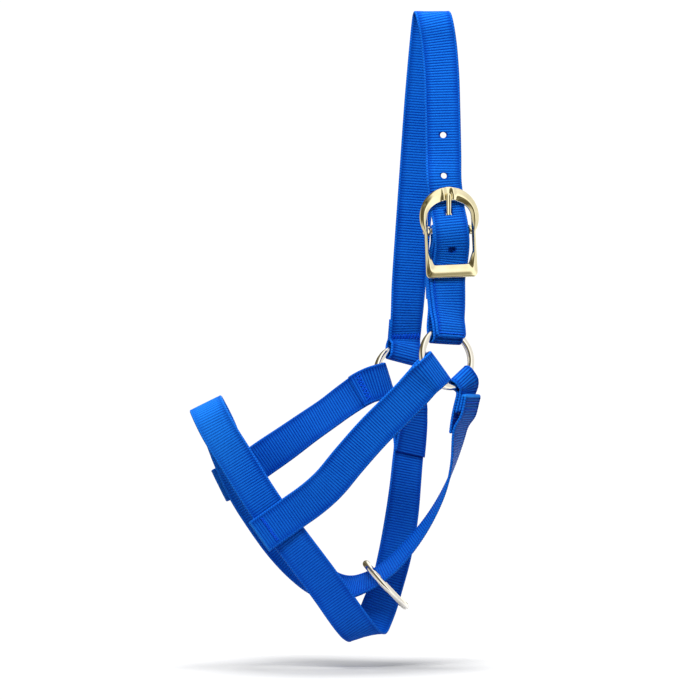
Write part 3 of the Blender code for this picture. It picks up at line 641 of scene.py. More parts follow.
class Webbing:
    """The fine rows of one ribbed strap, from which pieces of it are cut."""

    def __init__(self, stations, round_end=False):
        step = RIB_PITCH / ROWS_PER_RIB
        centre, across, share, along = smooth_rows(stations, step)
        tangent, across, normal = directions(centre, along, across)
        self.centre, self.along = centre, along
        length = along[-1]
        turning = np.linalg.norm(np.gradient(tangent, along, axis=0), axis=1)
        self.folded = np.clip((turning - FOLD_TURN[0]) / (FOLD_TURN[1] - FOLD_TURN[0]), 0, 1)
        columns = np.array(section_columns())
        half = WEB_WIDTH / 2
        phase = np.arange(len(along)) / ROWS_PER_RIB
        rib = np.abs(np.sin(np.pi * phase)) ** RIB_ROUND
        bead = np.abs(np.sin(np.pi * (phase + 0.5))) ** BEAD_ROUND
        from_end = np.minimum(along, length - along)
        seal = np.sqrt(np.clip(1 - (1 - np.clip(from_end / SEAL_REACH, 0, 1)) ** 2, SEAL_LEAST, 1))
        width = share.copy()
        if round_end:
            left = np.clip(length - along, 0, TIP_CORNER)
            corner = np.sqrt(np.clip(TIP_CORNER ** 2 - (TIP_CORNER - left) ** 2, 0, TIP_CORNER ** 2))
            width = width * (half - TIP_CORNER + corner) / half
        sides = []
        for side in (1, -1):
            for x in (columns if side > 0 else columns[::-1]):
                out = half - abs(x)
                in_groove = math.isclose(out, EDGE_BEAD)
                in_bead = out < EDGE_BEAD and not in_groove
                fall = math.sqrt(max(0.0, 1 - (1 - min(out / BEAD_FALL, 1)) ** 2))
                wave = bead if in_bead else rib
                dip = BEAD_GROOVE if in_groove else 0.0
                lift = (RIB_HALF_THICK - dip + RIB_HEIGHT * wave) * (fall if in_bead else 1)
                # The groove's lower rib value paints shade into it.
                sides.append((x, side * lift * seal, wave * (GROOVE_RIB_LIGHT if in_groove else 1)))
            sides.append((side * half, 0 * seal, bead))
        offsets = np.array([s[0] * width for s in sides])
        lifts = np.array([s[1] for s in sides])
        self.points = (centre[:, None] + offsets.T[:, :, None] * across[:, None]
                       + lifts.T[:, :, None] * normal[:, None])
        self.rib = np.array([s[2] for s in sides]).T
        self.across_mm = np.array([s[0] + 0 * share for s in sides]).T

    def mesh(self, first=0, last=None):
        """Its rows from first to last as a closed mesh, with the values that its material reads."""
        rows = slice(first, None if last is None else last + 1)
        grid = self.points[rows]
        wide = grid.shape[1]
        along, folded = (np.repeat(v[rows][:, None], wide, axis=1) for v in (self.along, self.folded))
        return mesh_of([(grid, False)], {"along": along, "across": self.across_mm[rows],
                                         "rib": self.rib[rows], "folded": folded})


# --- stitches ---

STITCH_RADIUS = 0.36
STITCH_HEIGHT = 0.55
STITCH_SINK = 0.25  # its ends start this far below the face
STITCH_GAP = 0.08  # share of the pitch left free at each end of a running stitch
STITCH_ROUND = 0.6  # power that rounds its arch, 1 being a sine
STITCH_LEAN = 0.6  # how far its ends lean along it
STITCH_CLEAR = 0.18  # from the valleys' bottom to where stitches lie
STITCH_ROWS = 7
STITCH_SIDES = 8
ROW_REACH = 10.2  # half length and pitch of a row across the webbing
ROW_PITCH = 2.4
EDGE_PLACE = -9.8  # place across and pitch of a row along the webbing
EDGE_PITCH = 2.6


def stitch(start, end, up):
    """One thread float that rises out of the webbing, arches over it and goes back in."""
    along = unit(end - start)
    side = np.cross(up, along)
    grid = []
    for i in range(STITCH_ROWS):
        t = i / (STITCH_ROWS - 1)
        rise = STITCH_HEIGHT * math.sin(math.pi * t) ** STITCH_ROUND - STITCH_SINK
        middle = start + (end - start) * t + up * rise
        top = unit(up - math.cos(math.pi * t) * STITCH_LEAN * along)
        grid.append([middle + STITCH_RADIUS * (math.cos(a) * side + math.sin(a) * top)
                     for a in circle(STITCH_SIDES)])
    return np.array(grid), False


def route_point(route, s, x, lift):
    centre, across, share = route.at(s, lift)
    return centre + across * x * share


def facing(route, s, lift):
    """The way out of the face that a lift is on."""
    return unit(route.read(route.normal, s)) * (1 if lift > 0 else -1)


def zigzag(route, s, lift, half_depth, count, reach=9.6):
    """A bar of zigzag stitches across the webbing."""
    up = facing(route, s, lift)
    made = []
    for k in range(count):
        turn = 1 if k % 2 else -1
        x0 = reach * (2 * k / count - 1)
        x1 = reach * (2 * (k + 1) / count - 1)
        made.append(stitch(route_point(route, s - turn * half_depth, x0, lift),
                           route_point(route, s + turn * half_depth, x1, lift), up))
    return made


def running(route, start, end, lift, pitch):
    """Running stitches in a line, from one (distance along, place across) to another."""
    start, end = np.array(start), np.array(end)
    count = int(np.linalg.norm(end - start) / pitch)
    made = []
    for k in range(count):
        s0, x0 = start + (end - start) * (k + STITCH_GAP) / count
        s1, x1 = start + (end - start) * (k + 1 - STITCH_GAP) / count
        made.append(stitch(route_point(route, s0, x0, lift), route_point(route, s1, x1, lift),
                           facing(route, s0, lift)))
    return made


# --- metal ---

FRAME_ROWS = 288
FRAME_RAY_CENTRE = (0.0, -6.0)
# Where the frame's front is notched for the tongue, with a lug on each side of the notch
NOTCH_FROM = 15  # height above the bar
NOTCH_FRONT = -4.2  # only depths in front of this are shaped
NOTCH_DEPTH = -4.45
NOTCH_HALF_WIDTH = 2.25
LUG_PLACE = 3.6
LUG_HALF_WIDTH = 1.15
LUG_HEIGHT = 0.85
PIN_SIDES = 32
# Pins along the bar's axis: both ends and the radius; a rim's steps are distance in and radius lost
BAR_PIN = (-BAR_HALF_LENGTH, BAR_HALF_LENGTH, BAR_RADIUS)
BAR_RIM = ((0, 1.6), (0.12, 0.7), (0.6, 0))
KNUCKLE = (13.7, 18.3, 3.3)
KNUCKLE_RIM = ((0, 0.9), (0.25, 0.35), (0.8, 0))
EYE_SIDES = 48
EYE_ROUND = 0.5  # corners taken off the eye's rim and its bore
BORE_ROUND = 0.3
SHANK_HALF_WIDTH = (1.55, 0.25)  # at the eye, and what it gains or loses by the tip
SHANK_HALF_THICK = (1.1, -0.1)
SHANK_START = 3.4
SHANK_ROWS = 40
SHANK_SIDES = 28
SHANK_SQUARE = 0.75  # power that squares the shank's section, 1 being an ellipse
SHANK_TIP = 1.6  # length of the rounded tip
SHANK_LEAST = 0.12
SHANK_GROOVE = (0.38, 0.55)  # depth and half width of the groove down the front
RING_ROWS = 160
RING_SIDES = 32
WELD_BULGE = (0.16, 1.7)  # height and half length
WELD_NICK = (0.10, 0.35)


def bell(x, half_width, power=2):
    return math.exp(-(abs(x) / half_width) ** power)


def arc(centre, radii, start, end, count):
    angles = [math.radians(start + (end - start) * k / count) for k in range(count + 1)]
    return [(centre[0] + radii[0] * math.cos(a), centre[1] + radii[1] * math.sin(a)) for a in angles]


def frame_outline():
    waist = math.degrees(math.asin(ARCH_CENTRE / ARCH_OUTER))
    left = -FOOT_HALF_WIDTH + FOOT_CORNER
    corner = (FOOT_CORNER, FOOT_CORNER)
    return (arc((0, ARCH_CENTRE), (ARCH_OUTER, ARCH_OUTER), -waist + 2, 180 + waist - 2, 60)
            + [(-WAIST_OUTER, WAIST_HEIGHT)]
            + arc((left, FOOT + FOOT_CORNER), corner, 180, 270, 10)
            + arc((-left, FOOT + FOOT_CORNER), corner, 270, 360, 10)
            + [(WAIST_OUTER, WAIST_HEIGHT)])


def window_outline():
    return (arc((0, ARCH_CENTRE), ARCH_INNER, 0, 180, 48)
            + [(-WAIST_INNER, 0), (-WAIST_INNER, CHAMFER_START), (-SILL_HALF_WIDTH, SILL),
               (SILL_HALF_WIDTH, SILL), (WAIST_INNER, CHAMFER_START), (WAIST_INNER, 0)])


def outline_along(outline, centre, angles):
    """Where rays from a centre cross an outline, lightly rounded at its corners."""
    points = np.array(outline) - centre
    closed = np.vstack([points, points[:1]])
    found = []
    for angle in angles:
        ray = np.array([math.cos(angle), math.sin(angle)])
        best = 0.0
        for a, b in zip(closed, closed[1:]):
            d = b - a
            cross = ray[0] * d[1] - ray[1] * d[0]
            if abs(cross) < 1e-9:
                continue
            t = (a[0] * d[1] - a[1] * d[0]) / cross
            u = (a[0] * ray[1] - a[1] * ray[0]) / cross
            if t > 0 and -1e-6 <= u <= 1 + 1e-6:
                best = max(best, t)
        found.append(best)
    reach = np.array(found)
    for _ in range(3):
        reach = (np.roll(reach, 1) + 2 * reach + np.roll(reach, -1)) / 4
    return centre + reach[:, None] * np.array([[math.cos(a), math.sin(a)] for a in angles])


# Share of the way from the frame's outer edge to its inner edge, and depth from the bar's middle.
FRAME_SECTION = ((0.03, -2.2), (0.0, -2.5), (-0.01, -3.4), (0.0, -4.3), (0.05, -4.72), (0.13, -4.9),
                 (0.20, -5.08), (0.32, -5.5), (0.44, -5.8), (0.52, -5.86), (0.60, -5.74), (0.72, -5.3),
                 (0.84, -4.75), (0.93, -4.4), (0.985, -4.05), (1.0, -3.4), (0.99, -2.6), (0.95, -2.2))


def placed(place, grid):
    return np.array([[place @ (Vector(spot) * MM) for spot in ring] for ring in grid]) / MM


def buckle_grid():
    """The cast frame: a domed band between its two outlines, with a lugged notch for the tongue."""
    centre = np.array(FRAME_RAY_CENTRE)
    angles = circle(FRAME_ROWS)
    outer = outline_along(frame_outline(), centre, angles)
    inner = outline_along(window_outline(), centre, angles)
    grid = []
    for o, i in zip(outer, inner):
        ring = []
        for share, depth in FRAME_SECTION:
            x, z = o + (i - o) * share
            if depth < NOTCH_FRONT and z > NOTCH_FROM:
                notch = bell(x, NOTCH_HALF_WIDTH, 4)
                lug = bell(abs(x) - LUG_PLACE, LUG_HALF_WIDTH) * (0.35 + 0.65 * min(1, max(0, share)))
                depth = depth + notch * (NOTCH_DEPTH - depth) - LUG_HEIGHT * lug
            ring.append((x, depth, z))
        grid.append(ring)
    return placed(BUCKLE_PLACE, grid), True


def pin(size, rim, side=1):
    """A turned pin along the bar's axis, mirrored to the other end of the bar for side -1."""
    start, end, radius = size
    steps = ([(start + step, radius - lost) for step, lost in rim]
             + [(end - step, radius - lost) for step, lost in reversed(rim)])
    grid = [[(side * x, r * math.cos(a), r * math.sin(a)) for a in circle(PIN_SIDES)] for x, r in steps]
    return placed(BUCKLE_PLACE, grid), False


def tongue_grids():
    """The tongue: an eye rolled round the bar and a tapered shank that rests in the frame's notch."""
    half = EYE_WIDTH / 2
    rim = [(half - EYE_ROUND, EYE_RADIUS), (half, EYE_RADIUS - EYE_ROUND),
           (half, EYE_BORE + BORE_ROUND), (half - BORE_ROUND, EYE_BORE)]
    section = rim + [(-x, r) for x, r in reversed(rim)]
    eye = [[(x, r * math.cos(a), r * math.sin(a)) for x, r in section] for a in circle(EYE_SIDES)]
    shank = []
    for k in range(SHANK_ROWS + 1):
        t = k / SHANK_ROWS
        z = SHANK_START + (TONGUE_TIP - SHANK_START) * t
        near_tip = math.sqrt(max(0.0, 1 - max(0.0, (z - TONGUE_TIP + SHANK_TIP) / SHANK_TIP) ** 2))
        half_width, half_thick = ((first + gain * t) * max(near_tip, SHANK_LEAST)
                                  for first, gain in (SHANK_HALF_WIDTH, SHANK_HALF_THICK))
        ring = []
        for a in circle(SHANK_SIDES):
            c, s = math.cos(a), math.sin(a)
            x = half_width * math.copysign(abs(c) ** SHANK_SQUARE, c)
            y = -half_thick * math.copysign(abs(s) ** SHANK_SQUARE, s)
            if s > 0:
                y += SHANK_GROOVE[0] * bell(x, SHANK_GROOVE[1]) * near_tip
            ring.append((x, y, z))
        shank.append(ring)
    lean = BUCKLE_PLACE @ Matrix.Rotation(-math.atan(TONGUE_SLOPE), 4, 'X')
    return [(placed(BUCKLE_PLACE, eye), True), (placed(lean, shank), False)]


def ring_grid(centre, normal, x_direction, weld_angle):
    """A welded wire ring, a little fuller where its ends join."""
    grid = []
    for a in circle(RING_ROWS):
        off = math.atan2(math.sin(a - weld_angle), math.cos(a - weld_angle)) * RING_MEAN
        wire = RING_WIRE + WELD_BULGE[0] * bell(off, WELD_BULGE[1]) - WELD_NICK[0] * bell(off, WELD_NICK[1])
        ring = []
        for b in circle(RING_SIDES):
            reach = RING_MEAN + wire * math.cos(b)
            ring.append((reach * math.cos(a), reach * math.sin(a), wire * math.sin(b)))
        grid.append(ring)
    return placed(frame_from(centre, normal, x_direction), grid), True


# --- materials ---

class Nodes:
    """Short calls for building the node tree of a material or a world."""

    def __init__(self, owner):
        owner.use_nodes = True
        self.owner = owner
        self.tree = owner.node_tree

    def node(self, kind, inputs=None, **settings):
        made = self.tree.nodes.new("ShaderNode" + kind)
        for key, value in settings.items():
            setattr(made, key, value)
        for key, value in (inputs or {}).items():
            self.put(made.inputs[key], value)
        return made

    def put(self, socket, value):
        if isinstance(value, bpy.types.NodeSocket):
            self.tree.links.new(value, socket)
        else:
            socket.default_value = value

    def attribute(self, name):
        return self.node("Attribute", attribute_name=name).outputs["Fac"]

    def math(self, operation, a, b=0.0, c=0.0):
        return self.node("Math", {0: a, 1: b, 2: c}, operation=operation).outputs[0]

    def mix(self, share, a, b):
        return self.node("Mix", {0: share, 6: a, 7: b}, data_type='RGBA').outputs[2]

    def ramp(self, value, low, high, to_low=0.0, to_high=1.0):
        return self.node("MapRange", {0: value, 1: low, 2: high, 3: to_low, 4: to_high}).outputs[0]

    def noise(self, scale, detail, vector=None):
        spot = vector or self.node("TexCoord").outputs["Object"]
        made = self.node("TexNoise", {"Scale": scale, "Detail": detail, "Roughness": 0.55, "Vector": spot})
        return made.outputs["Fac"]

    def bump(self, height, strength, distance):
        made = self.node("Bump", {"Height": height, "Strength": strength, "Distance": distance})
        return made.outputs["Normal"]

    def surface(self, **inputs):
        """Sets the material's shader, and gives the material."""
        shader = self.tree.nodes["Principled BSDF"]
        for key, value in inputs.items():
            self.put(shader.inputs[key.replace("_", " ")], value)
        return self.owner


# The valley blue is painted shade between the ribs and also the tone of dark fibres; the pale blue is the
# painted highlight on the ribs' tops and also the paler tone of the woven edge and of patches.
WEB_DARK_FIBRE_AND_VALLEY_SHADE = (0.0006, 0.026, 0.310, 1)
WEB_BODY = (0.0016, 0.092, 0.600, 1)
WEB_PALE_TONE_AND_CREST_HIGHLIGHT = (0.0110, 0.235, 0.930, 1)
# Pale blue for the painted highlight over the nose and along folds, and for the thread's pale fuzz.
WEB_PALE_FUZZ_AND_HIGHLIGHT = (0.0200, 0.280, 0.900, 1)
# Dark blue for painted shade.
WEB_SHADE = (0.0002, 0.012, 0.200, 1)
NOSE_HIGHLIGHT_REACH = (-0.125, -0.160)
NOSE_HIGHLIGHT_SHARE = 0.28
FOLD_HIGHLIGHT_SHARE = 0.55
# Heights over which painted shade grows towards the bottom and the painted rib light is evened out.
CHIN_REACH = (-0.300, -0.400)
CHIN_SHADE_SHARE = 0.34
CHIN_CALM = 0.45
CALM_RIB_LIGHT = 0.55
# Painted shade on the far cheek strap and far jaw tab.
FAR_SIDE_SHADE = 0.30


def webbing_material(name, depth):
    """Ribbed nylon webbing: valleys painted dark as shade, tops of the ribs painted paler as highlight, warp
    yarns over each rib, and a woven edge.

    It has a painted highlight over the nose and along folds and painted shade towards the bottom, and depth
    adds painted shade to all of it.
    """
    n = Nodes(bpy.data.materials.new(name))
    spot = n.node("SeparateXYZ", {0: n.node("TexCoord").outputs["Object"]})
    along, across, rib = n.attribute("along"), n.attribute("across"), n.attribute("rib")
    yarn_turn = n.math('MULTIPLY', n.math('FLOOR', n.math('DIVIDE', along, RIB_PITCH)), math.pi)
    yarn = n.math('SINE', n.math('ADD', n.math('MULTIPLY', across, 2 * math.pi / 1.1), yarn_turn))
    yarn = n.math('MULTIPLY_ADD', yarn, 0.5, 0.5)
    place = n.node("CombineXYZ", {0: n.math('MULTIPLY', along, 0.55), 1: n.math('MULTIPLY', across, 2.6)})
    fibre = n.noise(2.2, 4.0, place.outputs[0])
    patch = n.noise(38.0, 3.0)
    edge = n.ramp(n.math('ABSOLUTE', across), WEB_WIDTH / 2 - EDGE_BEAD, WEB_WIDTH / 2 - 0.3)
    # The ribs' height paints highlight on their tops and shade in the valleys; the yarn pattern over each rib
    # is the weave's own.
    rib_light_and_yarn = n.math('MULTIPLY', rib, n.math('MULTIPLY_ADD', yarn, 0.30, 0.70))
    # Towards the bottom the painted rib highlight and shade are evened out towards one middle value.
    calm = n.ramp(spot.outputs["Z"], *CHIN_REACH, 0.0, CHIN_CALM)
    rib_light_and_yarn = n.math('MULTIPLY_ADD', n.math('SUBTRACT', CALM_RIB_LIGHT, rib_light_and_yarn), calm, rib_light_and_yarn)
    low = n.mix(n.ramp(rib_light_and_yarn, 0.1, 0.60), WEB_DARK_FIBRE_AND_VALLEY_SHADE, WEB_BODY)
    colour = n.mix(n.ramp(rib_light_and_yarn, 0.45, 0.95, 0.0, 0.9), low, WEB_PALE_TONE_AND_CREST_HIGHLIGHT)
    colour = n.mix(n.math('MULTIPLY', edge, 0.16), colour, WEB_PALE_TONE_AND_CREST_HIGHLIGHT)
    colour = n.mix(n.ramp(fibre, 0.3, 0.75, 0.0, 0.22), colour, WEB_DARK_FIBRE_AND_VALLEY_SHADE)
    colour = n.mix(n.ramp(patch, 0.35, 0.7, 0.0, 0.16), colour, WEB_PALE_TONE_AND_CREST_HIGHLIGHT)
    # Painted highlight over the nose's top, where it faces the light, and along folds.
    painted_highlight = n.ramp(spot.outputs["X"], *NOSE_HIGHLIGHT_REACH, 0.0, NOSE_HIGHLIGHT_SHARE)
    painted_highlight = n.math('MAXIMUM', painted_highlight, n.math('MULTIPLY', n.attribute("folded"), FOLD_HIGHLIGHT_SHARE))
    colour = n.mix(painted_highlight, colour, WEB_PALE_FUZZ_AND_HIGHLIGHT)
    # Painted shade, darker towards the bottom, plus the painted shade that the material's depth gives.
    chin = n.ramp(spot.outputs["Z"], *CHIN_REACH, 0.0, CHIN_SHADE_SHARE)
    colour = n.mix(n.math('ADD', chin, depth), colour, WEB_SHADE)
    rough = n.math('ADD', n.ramp(fibre, 0.2, 0.8, 0.44, 0.62), n.math('MULTIPLY', rib, -0.06))
    grain = n.math('ADD', n.math('MULTIPLY', yarn, 0.55), n.math('MULTIPLY', fibre, 0.7))
    return n.surface(Base_Color=colour, Roughness=rough, Normal=n.bump(grain, 0.55, 0.00016),
                     Sheen_Weight=0.02, Sheen_Roughness=0.45, Sheen_Tint=(0.1, 0.5, 1, 1),
                     Specular_IOR_Level=0.05)


def thread_material():
    """Bonded nylon thread with a fine twist."""
    n = Nodes(bpy.data.materials.new("blue bonded thread"))
    spot = n.node("TexCoord").outputs["Object"]
    twist = n.node("TexWave", {"Vector": spot, "Scale": 900.0, "Distortion": 2.5, "Detail": 2.0},
                   bands_direction='DIAGONAL').outputs["Fac"]
    fuzz = n.noise(1800.0, 2.0)
    colour = n.mix(n.ramp(twist, 0.1, 0.9), (0.0005, 0.045, 0.56, 1), (0.0015, 0.11, 0.86, 1))
    colour = n.mix(n.ramp(fuzz, 0.4, 0.8, 0.0, 0.2), colour, WEB_PALE_FUZZ_AND_HIGHLIGHT)
    return n.surface(Base_Color=colour, Roughness=n.ramp(fuzz, 0.2, 0.8, 0.32, 0.5),
                     Normal=n.bump(twist, 0.4, 0.00008), Specular_IOR_Level=0.12)


# Bright, dull and stained tones of each metal, and its lowest and highest roughness
NICKEL = ((0.83, 0.80, 0.75, 1), (0.72, 0.69, 0.63, 1), (0.52, 0.48, 0.40, 1), (0.035, 0.08))
BRASS = ((0.86, 0.79, 0.56, 1), (0.74, 0.67, 0.44, 1), (0.50, 0.44, 0.26, 1), (0.06, 0.11))


def metal_material(name, bright, dull, stain, polish):
    """Polished plated metal: drawn scratches, cloudy wear and a little tarnish in patches."""
    n = Nodes(bpy.data.materials.new(name))
    spot = n.node("TexCoord").outputs["Object"]
    cloud = n.noise(90.0, 4.0, spot)
    fine = n.noise(900.0, 3.0, spot)
    stretched = n.node("Mapping", {"Vector": spot, "Scale": (400.0, 400.0, 4200.0)})
    scratch = n.noise(1.0, 2.0, stretched.outputs[0])
    colour = n.mix(n.ramp(cloud, 0.32, 0.68), bright, dull)
    colour = n.mix(n.ramp(fine, 0.58, 0.8, 0.0, 0.35), colour, stain)
    wear = n.ramp(scratch, 0.55, 0.8, 0.0, 0.08)
    rough = n.math('ADD', n.ramp(cloud, 0.3, 0.75, *polish), wear)
    height = n.math('ADD', n.math('MULTIPLY', cloud, 0.8), n.math('MULTIPLY', scratch, 0.25))
    return n.surface(Base_Color=colour, Metallic=1.0, Roughness=rough,
                     Normal=n.bump(height, 0.22, 0.00012))


# --- the halter's pieces ---

# Buckle points where the crown strap is split round the tongue: over the arch, at the hole, at the foot
CROWN_SPLITS = ((-0.6, 0.2, 24.0), (0.0, -3.0, 12.5), (1.0, -0.8, -28.8))
TONGUE_ROOM = 22.0  # length of the slot cut for the tongue, and how far it passes the tip
TONGUE_ROOM_PAST = 0.9


def pick(strap, point, allowed):
    """The whole-rib row of a strap nearest a point, among the allowed rows."""
    distance = np.linalg.norm(strap.centre - point, axis=1) + 1000 * ~allowed
    return int(round(np.argmin(distance) / ROWS_PER_RIB)) * ROWS_PER_RIB


def tongue_room():
    size = (TONGUE_WIDTH + 2 * TONGUE_CLEAR, TONGUE_THICK + 2 * TONGUE_CLEAR, TONGUE_ROOM)
    lean = Matrix.Rotation(-math.atan(TONGUE_SLOPE), 4, 'X')
    middle = TONGUE_TIP + TONGUE_ROOM_PAST - TONGUE_ROOM / 2
    return box_cutter("tongue_room", size, BUCKLE_PLACE @ lean @ Matrix.Translation((0, 0, middle * MM)))


def add_straps(routes, blue, shaded):
    tab, crown, near_cheek, far_cheek, near_jaw, far_jaw, nose = routes
    strap = Webbing(crown_strap(crown), round_end=True)
    later = np.arange(len(strap.along)) > len(strap.along) // 2
    arch, hole, foot = (pick(strap, buckle_point(*spot), later) for spot in CROWN_SPLITS)
    holes = []
    for height in HOLE_HEIGHTS:
        s = crown.at_height(height, crown.length / 2)
        centre, across, _ = crown.at(s)
        holes.append(hole_cutter(f"hole{-height:.0f}", centre, crown.read(crown.normal, s), across))
    room = tongue_room()
    add_piece("crown_strap_main", strap.mesh(0, arch), blue, "crown_strap", "crown", holes[:2])
    above = add_piece("crown_strap_above_tongue", strap.mesh(arch, hole), blue, "crown_strap", cutters=[room])
    below = add_piece("crown_strap_below_tongue", strap.mesh(hole, foot), blue, "crown_strap",
                      cutters=[room, holes[2]])
    for piece, row in ((above, arch), (below, foot)):
        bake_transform(piece)
    add_piece("crown_strap_tip", strap.mesh(foot), blue, "crown_strap", "crown")

    slot = box_cutter("tab_slot", TAB_SLOT, BUCKLE_PLACE)
    add_piece("buckle_tab_webbing", Webbing(buckle_tab(tab)).mesh(), blue, "buckle_tab", "crown", [slot])

    layouts = (("near_cheek_strap", cheek_strap(near_cheek, NEAR_CHEEK_LOOP[1]), blue),
               ("far_cheek_strap", cheek_strap(far_cheek, FAR_CHEEK_LOOP[1]), shaded),
               ("near_jaw_tab", jaw_tab(near_jaw), blue),
               ("far_jaw_tab", jaw_tab(far_jaw), shaded),
               ("nose_jaw_strap", nose_jaw_strap(nose), blue))
    for name, stations, finish in layouts:
        add_piece(name + "_webbing", Webbing(stations).mesh(), finish, name, "head")


def add_stitches(routes, thread):
    tab, crown, near_cheek, far_cheek, _, _, nose = routes
    face = RIB_HALF_THICK + STITCH_CLEAR
    hem = HALF_LAYER + face
    tip, nose_end = crown.length, nose.length

    def rows_across(route, *places):
        rows = [running(route, (s, -ROW_REACH), (s, ROW_REACH), face, ROW_PITCH) for s in places]
        return sum(rows, [])

    seams = (
        ("crown_ring_seam", "crown", zigzag(crown, 15, -hem, 2.3, 19, 11.4)),
        ("crown_tip_seam", "crown", rows_across(crown, tip - 3.2)
         + running(crown, (tip - 46, EDGE_PLACE), (tip - 4.5, EDGE_PLACE), face, EDGE_PITCH)),
        ("buckle_tab_seam", "crown", zigzag(tab, 33, LAYER + face, 2.0, 13)),
        ("near_cheek_ring_seam", "head", zigzag(near_cheek, 19, -hem, 2.0, 13)),
        ("far_cheek_ring_seam", "head", zigzag(far_cheek, 17, -hem, 2.0, 13)),
        ("near_cheek_nose_seam", "head", zigzag(near_cheek, near_cheek.length - 7.6, hem, 0.9, 26)),
        ("far_cheek_nose_seam", "head", zigzag(far_cheek, far_cheek.length - 7.6, hem, 0.9, 26)),
        ("near_jaw_seam", "head", rows_across(nose, 3.6, 8.6)),
        ("far_jaw_seam", "head", rows_across(nose, nose_end - 3.6, nose_end - 8.6)),
    )
    for name, body, stitches in seams:
        add_piece(name + "_stitches", mesh_of(stitches), thread, name, body)


def add_metal(nickel, brass):
    cast = [buckle_grid(), pin(KNUCKLE, KNUCKLE_RIM), pin(KNUCKLE, KNUCKLE_RIM, -1)]
    add_piece("buckle_frame_cast", mesh_of(cast), brass, "buckle_frame", "buckle")
    add_piece("buckle_bar_pin", mesh_of([pin(BAR_PIN, BAR_RIM)]), nickel, "buckle_bar", "buckle")
    add_piece("buckle_tongue_bent", mesh_of(tongue_grids()), brass, "buckle_tongue", "tongue")
    rings = (("near_ring", NEAR_RING, RING_AXIS, RING_LEVEL, 1.2),
             ("far_ring", FAR_RING, RING_AXIS, RING_LEVEL, 2.3),
             ("lead_ring", LEAD_RING, LEAD_RING_NORMAL, vec(0, 1, 0), -0.5))
    for name, centre, axis, level, weld in rings:
        add_piece(name + "_welded", mesh_of([ring_grid(centre, axis, level, weld)]), nickel, name, name)


# --- the stage ---

FLOOR_RADIUS = 0.19
FLOOR_DROP = 0.018
# The floor's glow is painted light, none near the middle and full past the reach.
FLOOR_GLOW_REACH = (0.06, 0.18)
FLOOR_GLOW = (0.0, 0.66)
DOME_ABOVE = 0.66
DOME_BELOW = 0.07
DOME_REACH = (-0.12, 0.40)
DOME_COLOUR = (0.97, 0.98, 1.0, 1)
BACKDROP = 1.05
MIRROR_LEAN = (1.30, 0.60)
MIRROR_REACH = (-1.1, 1.1)
MIRROR_ROOM = ((0.00, (0.85, 0.82, 0.72, 1)), (0.08, (0.50, 0.46, 0.34, 1)),
               (0.15, (0.12, 0.10, 0.06, 1)), (0.33, (0.14, 0.12, 0.07, 1)),
               (0.41, (0.34, 0.31, 0.20, 1)), (0.45, (0.02, 0.02, 0.01, 1)),
               (0.50, (0.26, 0.23, 0.14, 1)), (0.57, (0.42, 0.39, 0.28, 1)),
               (0.64, (1.40, 1.37, 1.25, 1)), (0.80, (1.50, 1.47, 1.38, 1)),
               (1.00, (1.00, 0.98, 0.92, 1)))
CROWN_HALF = Vector((0.02, 0, 0.12))  # from the middle of the box to where most lamps point
CAMERA_PLACE = (-0.0583, -3.0, -0.2403)
CAMERA_SENSOR = 36.0
CAMERA_LENS = 216.0


def add_light(name, size, energy, spot, target, colour=(1, 1, 1)):
    lamp = bpy.data.lights.new(name, 'AREA')
    lamp.shape = 'RECTANGLE'
    lamp.size, lamp.size_y = size
    lamp.energy = energy
    lamp.color = colour
    made = bpy.data.objects.new(name, lamp)
    made.location = spot
    made.rotation_euler = (Vector(target) - Vector(spot)).to_track_quat('-Z', 'Y').to_euler()
    made.visible_glossy = False
    bpy.context.scene.collection.objects.link(made)


def add_floor(low, middle):
    """A plain pale disc: its far part glows a little, painted light, so it fades to white behind the soft
    shadow, and its unglowing middle stands darker as a painted shadow.
    """
    centre = (middle.x, middle.y, low.z - FLOOR_DROP)
    mesh = primitive("studio_floor", bmesh.ops.create_circle, cap_ends=True, segments=96,
                     radius=FLOOR_RADIUS, matrix=Matrix.Translation(centre))
    floor = bpy.data.objects.new("studio_floor", mesh)
    bpy.context.scene.collection.objects.link(floor)
    n = Nodes(bpy.data.materials.new("studio floor"))
    spot = n.node("TexCoord").outputs["Object"]
    away = n.node("VectorMath", {0: spot, 1: centre}, operation='DISTANCE').outputs["Value"]
    glow = n.ramp(away, *FLOOR_GLOW_REACH, *FLOOR_GLOW)
    colour = n.mix(n.noise(14.0, 2.0), (0.51, 0.51, 0.51, 1), (0.54, 0.54, 0.54, 1))
    mesh.materials.append(n.surface(Base_Color=colour, Roughness=0.9, Specular_IOR_Level=0.0,
                                    Emission_Color=(1, 1, 1, 1), Emission_Strength=glow))


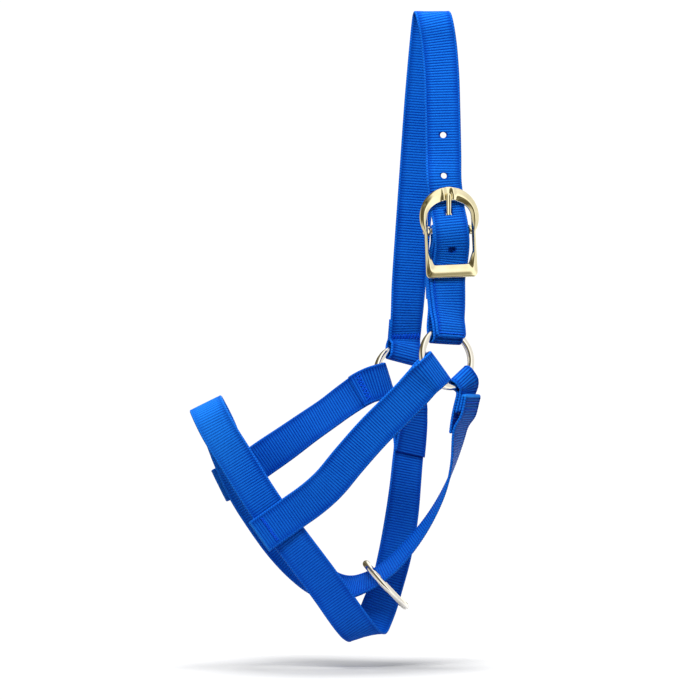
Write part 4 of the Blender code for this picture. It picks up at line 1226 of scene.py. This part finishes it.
def add_world():
    """White around the halter; mirrors see a darker room on the left and a bright one on the right."""
    world = bpy.data.worlds.new("studio")
    bpy.context.scene.world = world
    n = Nodes(world)
    rays = n.node("LightPath").outputs
    axes = n.node("SeparateXYZ", {0: n.node("TexCoord").outputs["Generated"]}).outputs
    lean = n.math('MULTIPLY_ADD', axes["X"], MIRROR_LEAN[0], n.math('MULTIPLY', axes["Z"], MIRROR_LEAN[1]))
    ramp = n.node("ValToRGB", {0: n.ramp(lean, *MIRROR_REACH)})
    stops = ramp.color_ramp.elements
    stops[0].position, stops[0].color = MIRROR_ROOM[0]
    stops[1].position, stops[1].color = MIRROR_ROOM[-1]
    for position, colour in MIRROR_ROOM[1:-1]:
        stops.new(position).color = colour
    dome = n.ramp(axes["Z"], *DOME_REACH, DOME_BELOW, DOME_ABOVE)
    light = n.node("Background", {"Color": DOME_COLOUR, "Strength": dome})
    for ray, colour, strength in (("Is Glossy Ray", ramp.outputs[0], 1.0),
                                  ("Is Camera Ray", (1, 1, 1, 1), BACKDROP)):
        seen = n.node("Background", {"Color": colour, "Strength": strength})
        light = n.node("MixShader", {0: rays[ray], 1: light.outputs[0], 2: seen.outputs[0]})
    n.put(n.tree.nodes["World Output"].inputs["Surface"], light.outputs[0])


def add_stage(low, high):
    middle = (low + high) / 2
    add_floor(low, middle)
    add_world()
    crown_half = middle + CROWN_HALF
    add_light("key", (0.5, 0.5), 10.5, (-0.38, -0.75, 0.60), crown_half)
    add_light("top", (0.34, 0.34), 8.0, (-0.04, -0.03, 1.1), middle, (1, 0.99, 0.97))
    add_light("right", (0.4, 0.6), 2.0, (0.9, -0.6, 0.45), crown_half)
    add_light("back", (1.0, 0.8), 3.5, (0.2, 1.2, 0.8), crown_half)


def add_camera():
    lens = bpy.data.cameras.new("camera")
    lens.sensor_width = CAMERA_SENSOR
    lens.lens = CAMERA_LENS
    lens.clip_end = 60.0
    camera = bpy.data.objects.new("camera", lens)
    camera.location = CAMERA_PLACE
    camera.rotation_euler = (math.pi / 2, 0, 0)
    bpy.context.scene.collection.objects.link(camera)
    bpy.context.scene.camera = camera


tab_line = crown_tab_route()
near_jaw_line, far_jaw_line = near_jaw_route(), far_jaw_route()
all_routes = (tab_line, crown_route(tab_line), near_cheek_route(), far_cheek_route(), near_jaw_line,
              far_jaw_line, nose_route(near_jaw_line, far_jaw_line))
blue_webbing = (webbing_material("blue ribbed webbing", 0.0), "webbing")
# A copy of the webbing with painted shade, for the far side's straps.
shaded_webbing = (webbing_material("shaded blue ribbed webbing", FAR_SIDE_SHADE), "webbing")
bonded_thread = (thread_material(), "thread")
nickel_plate = (metal_material("bright nickel", *NICKEL), "ring_nickel")
pale_brass = (metal_material("pale brass", *BRASS), "buckle_nickel")
add_straps(all_routes, blue_webbing, shaded_webbing)
add_stitches(all_routes, bonded_thread)
add_metal(nickel_plate, pale_brass)
add_stage(*CAD_BOX)
add_camera()
bpy.context.scene.view_settings.view_transform = 'Standard'
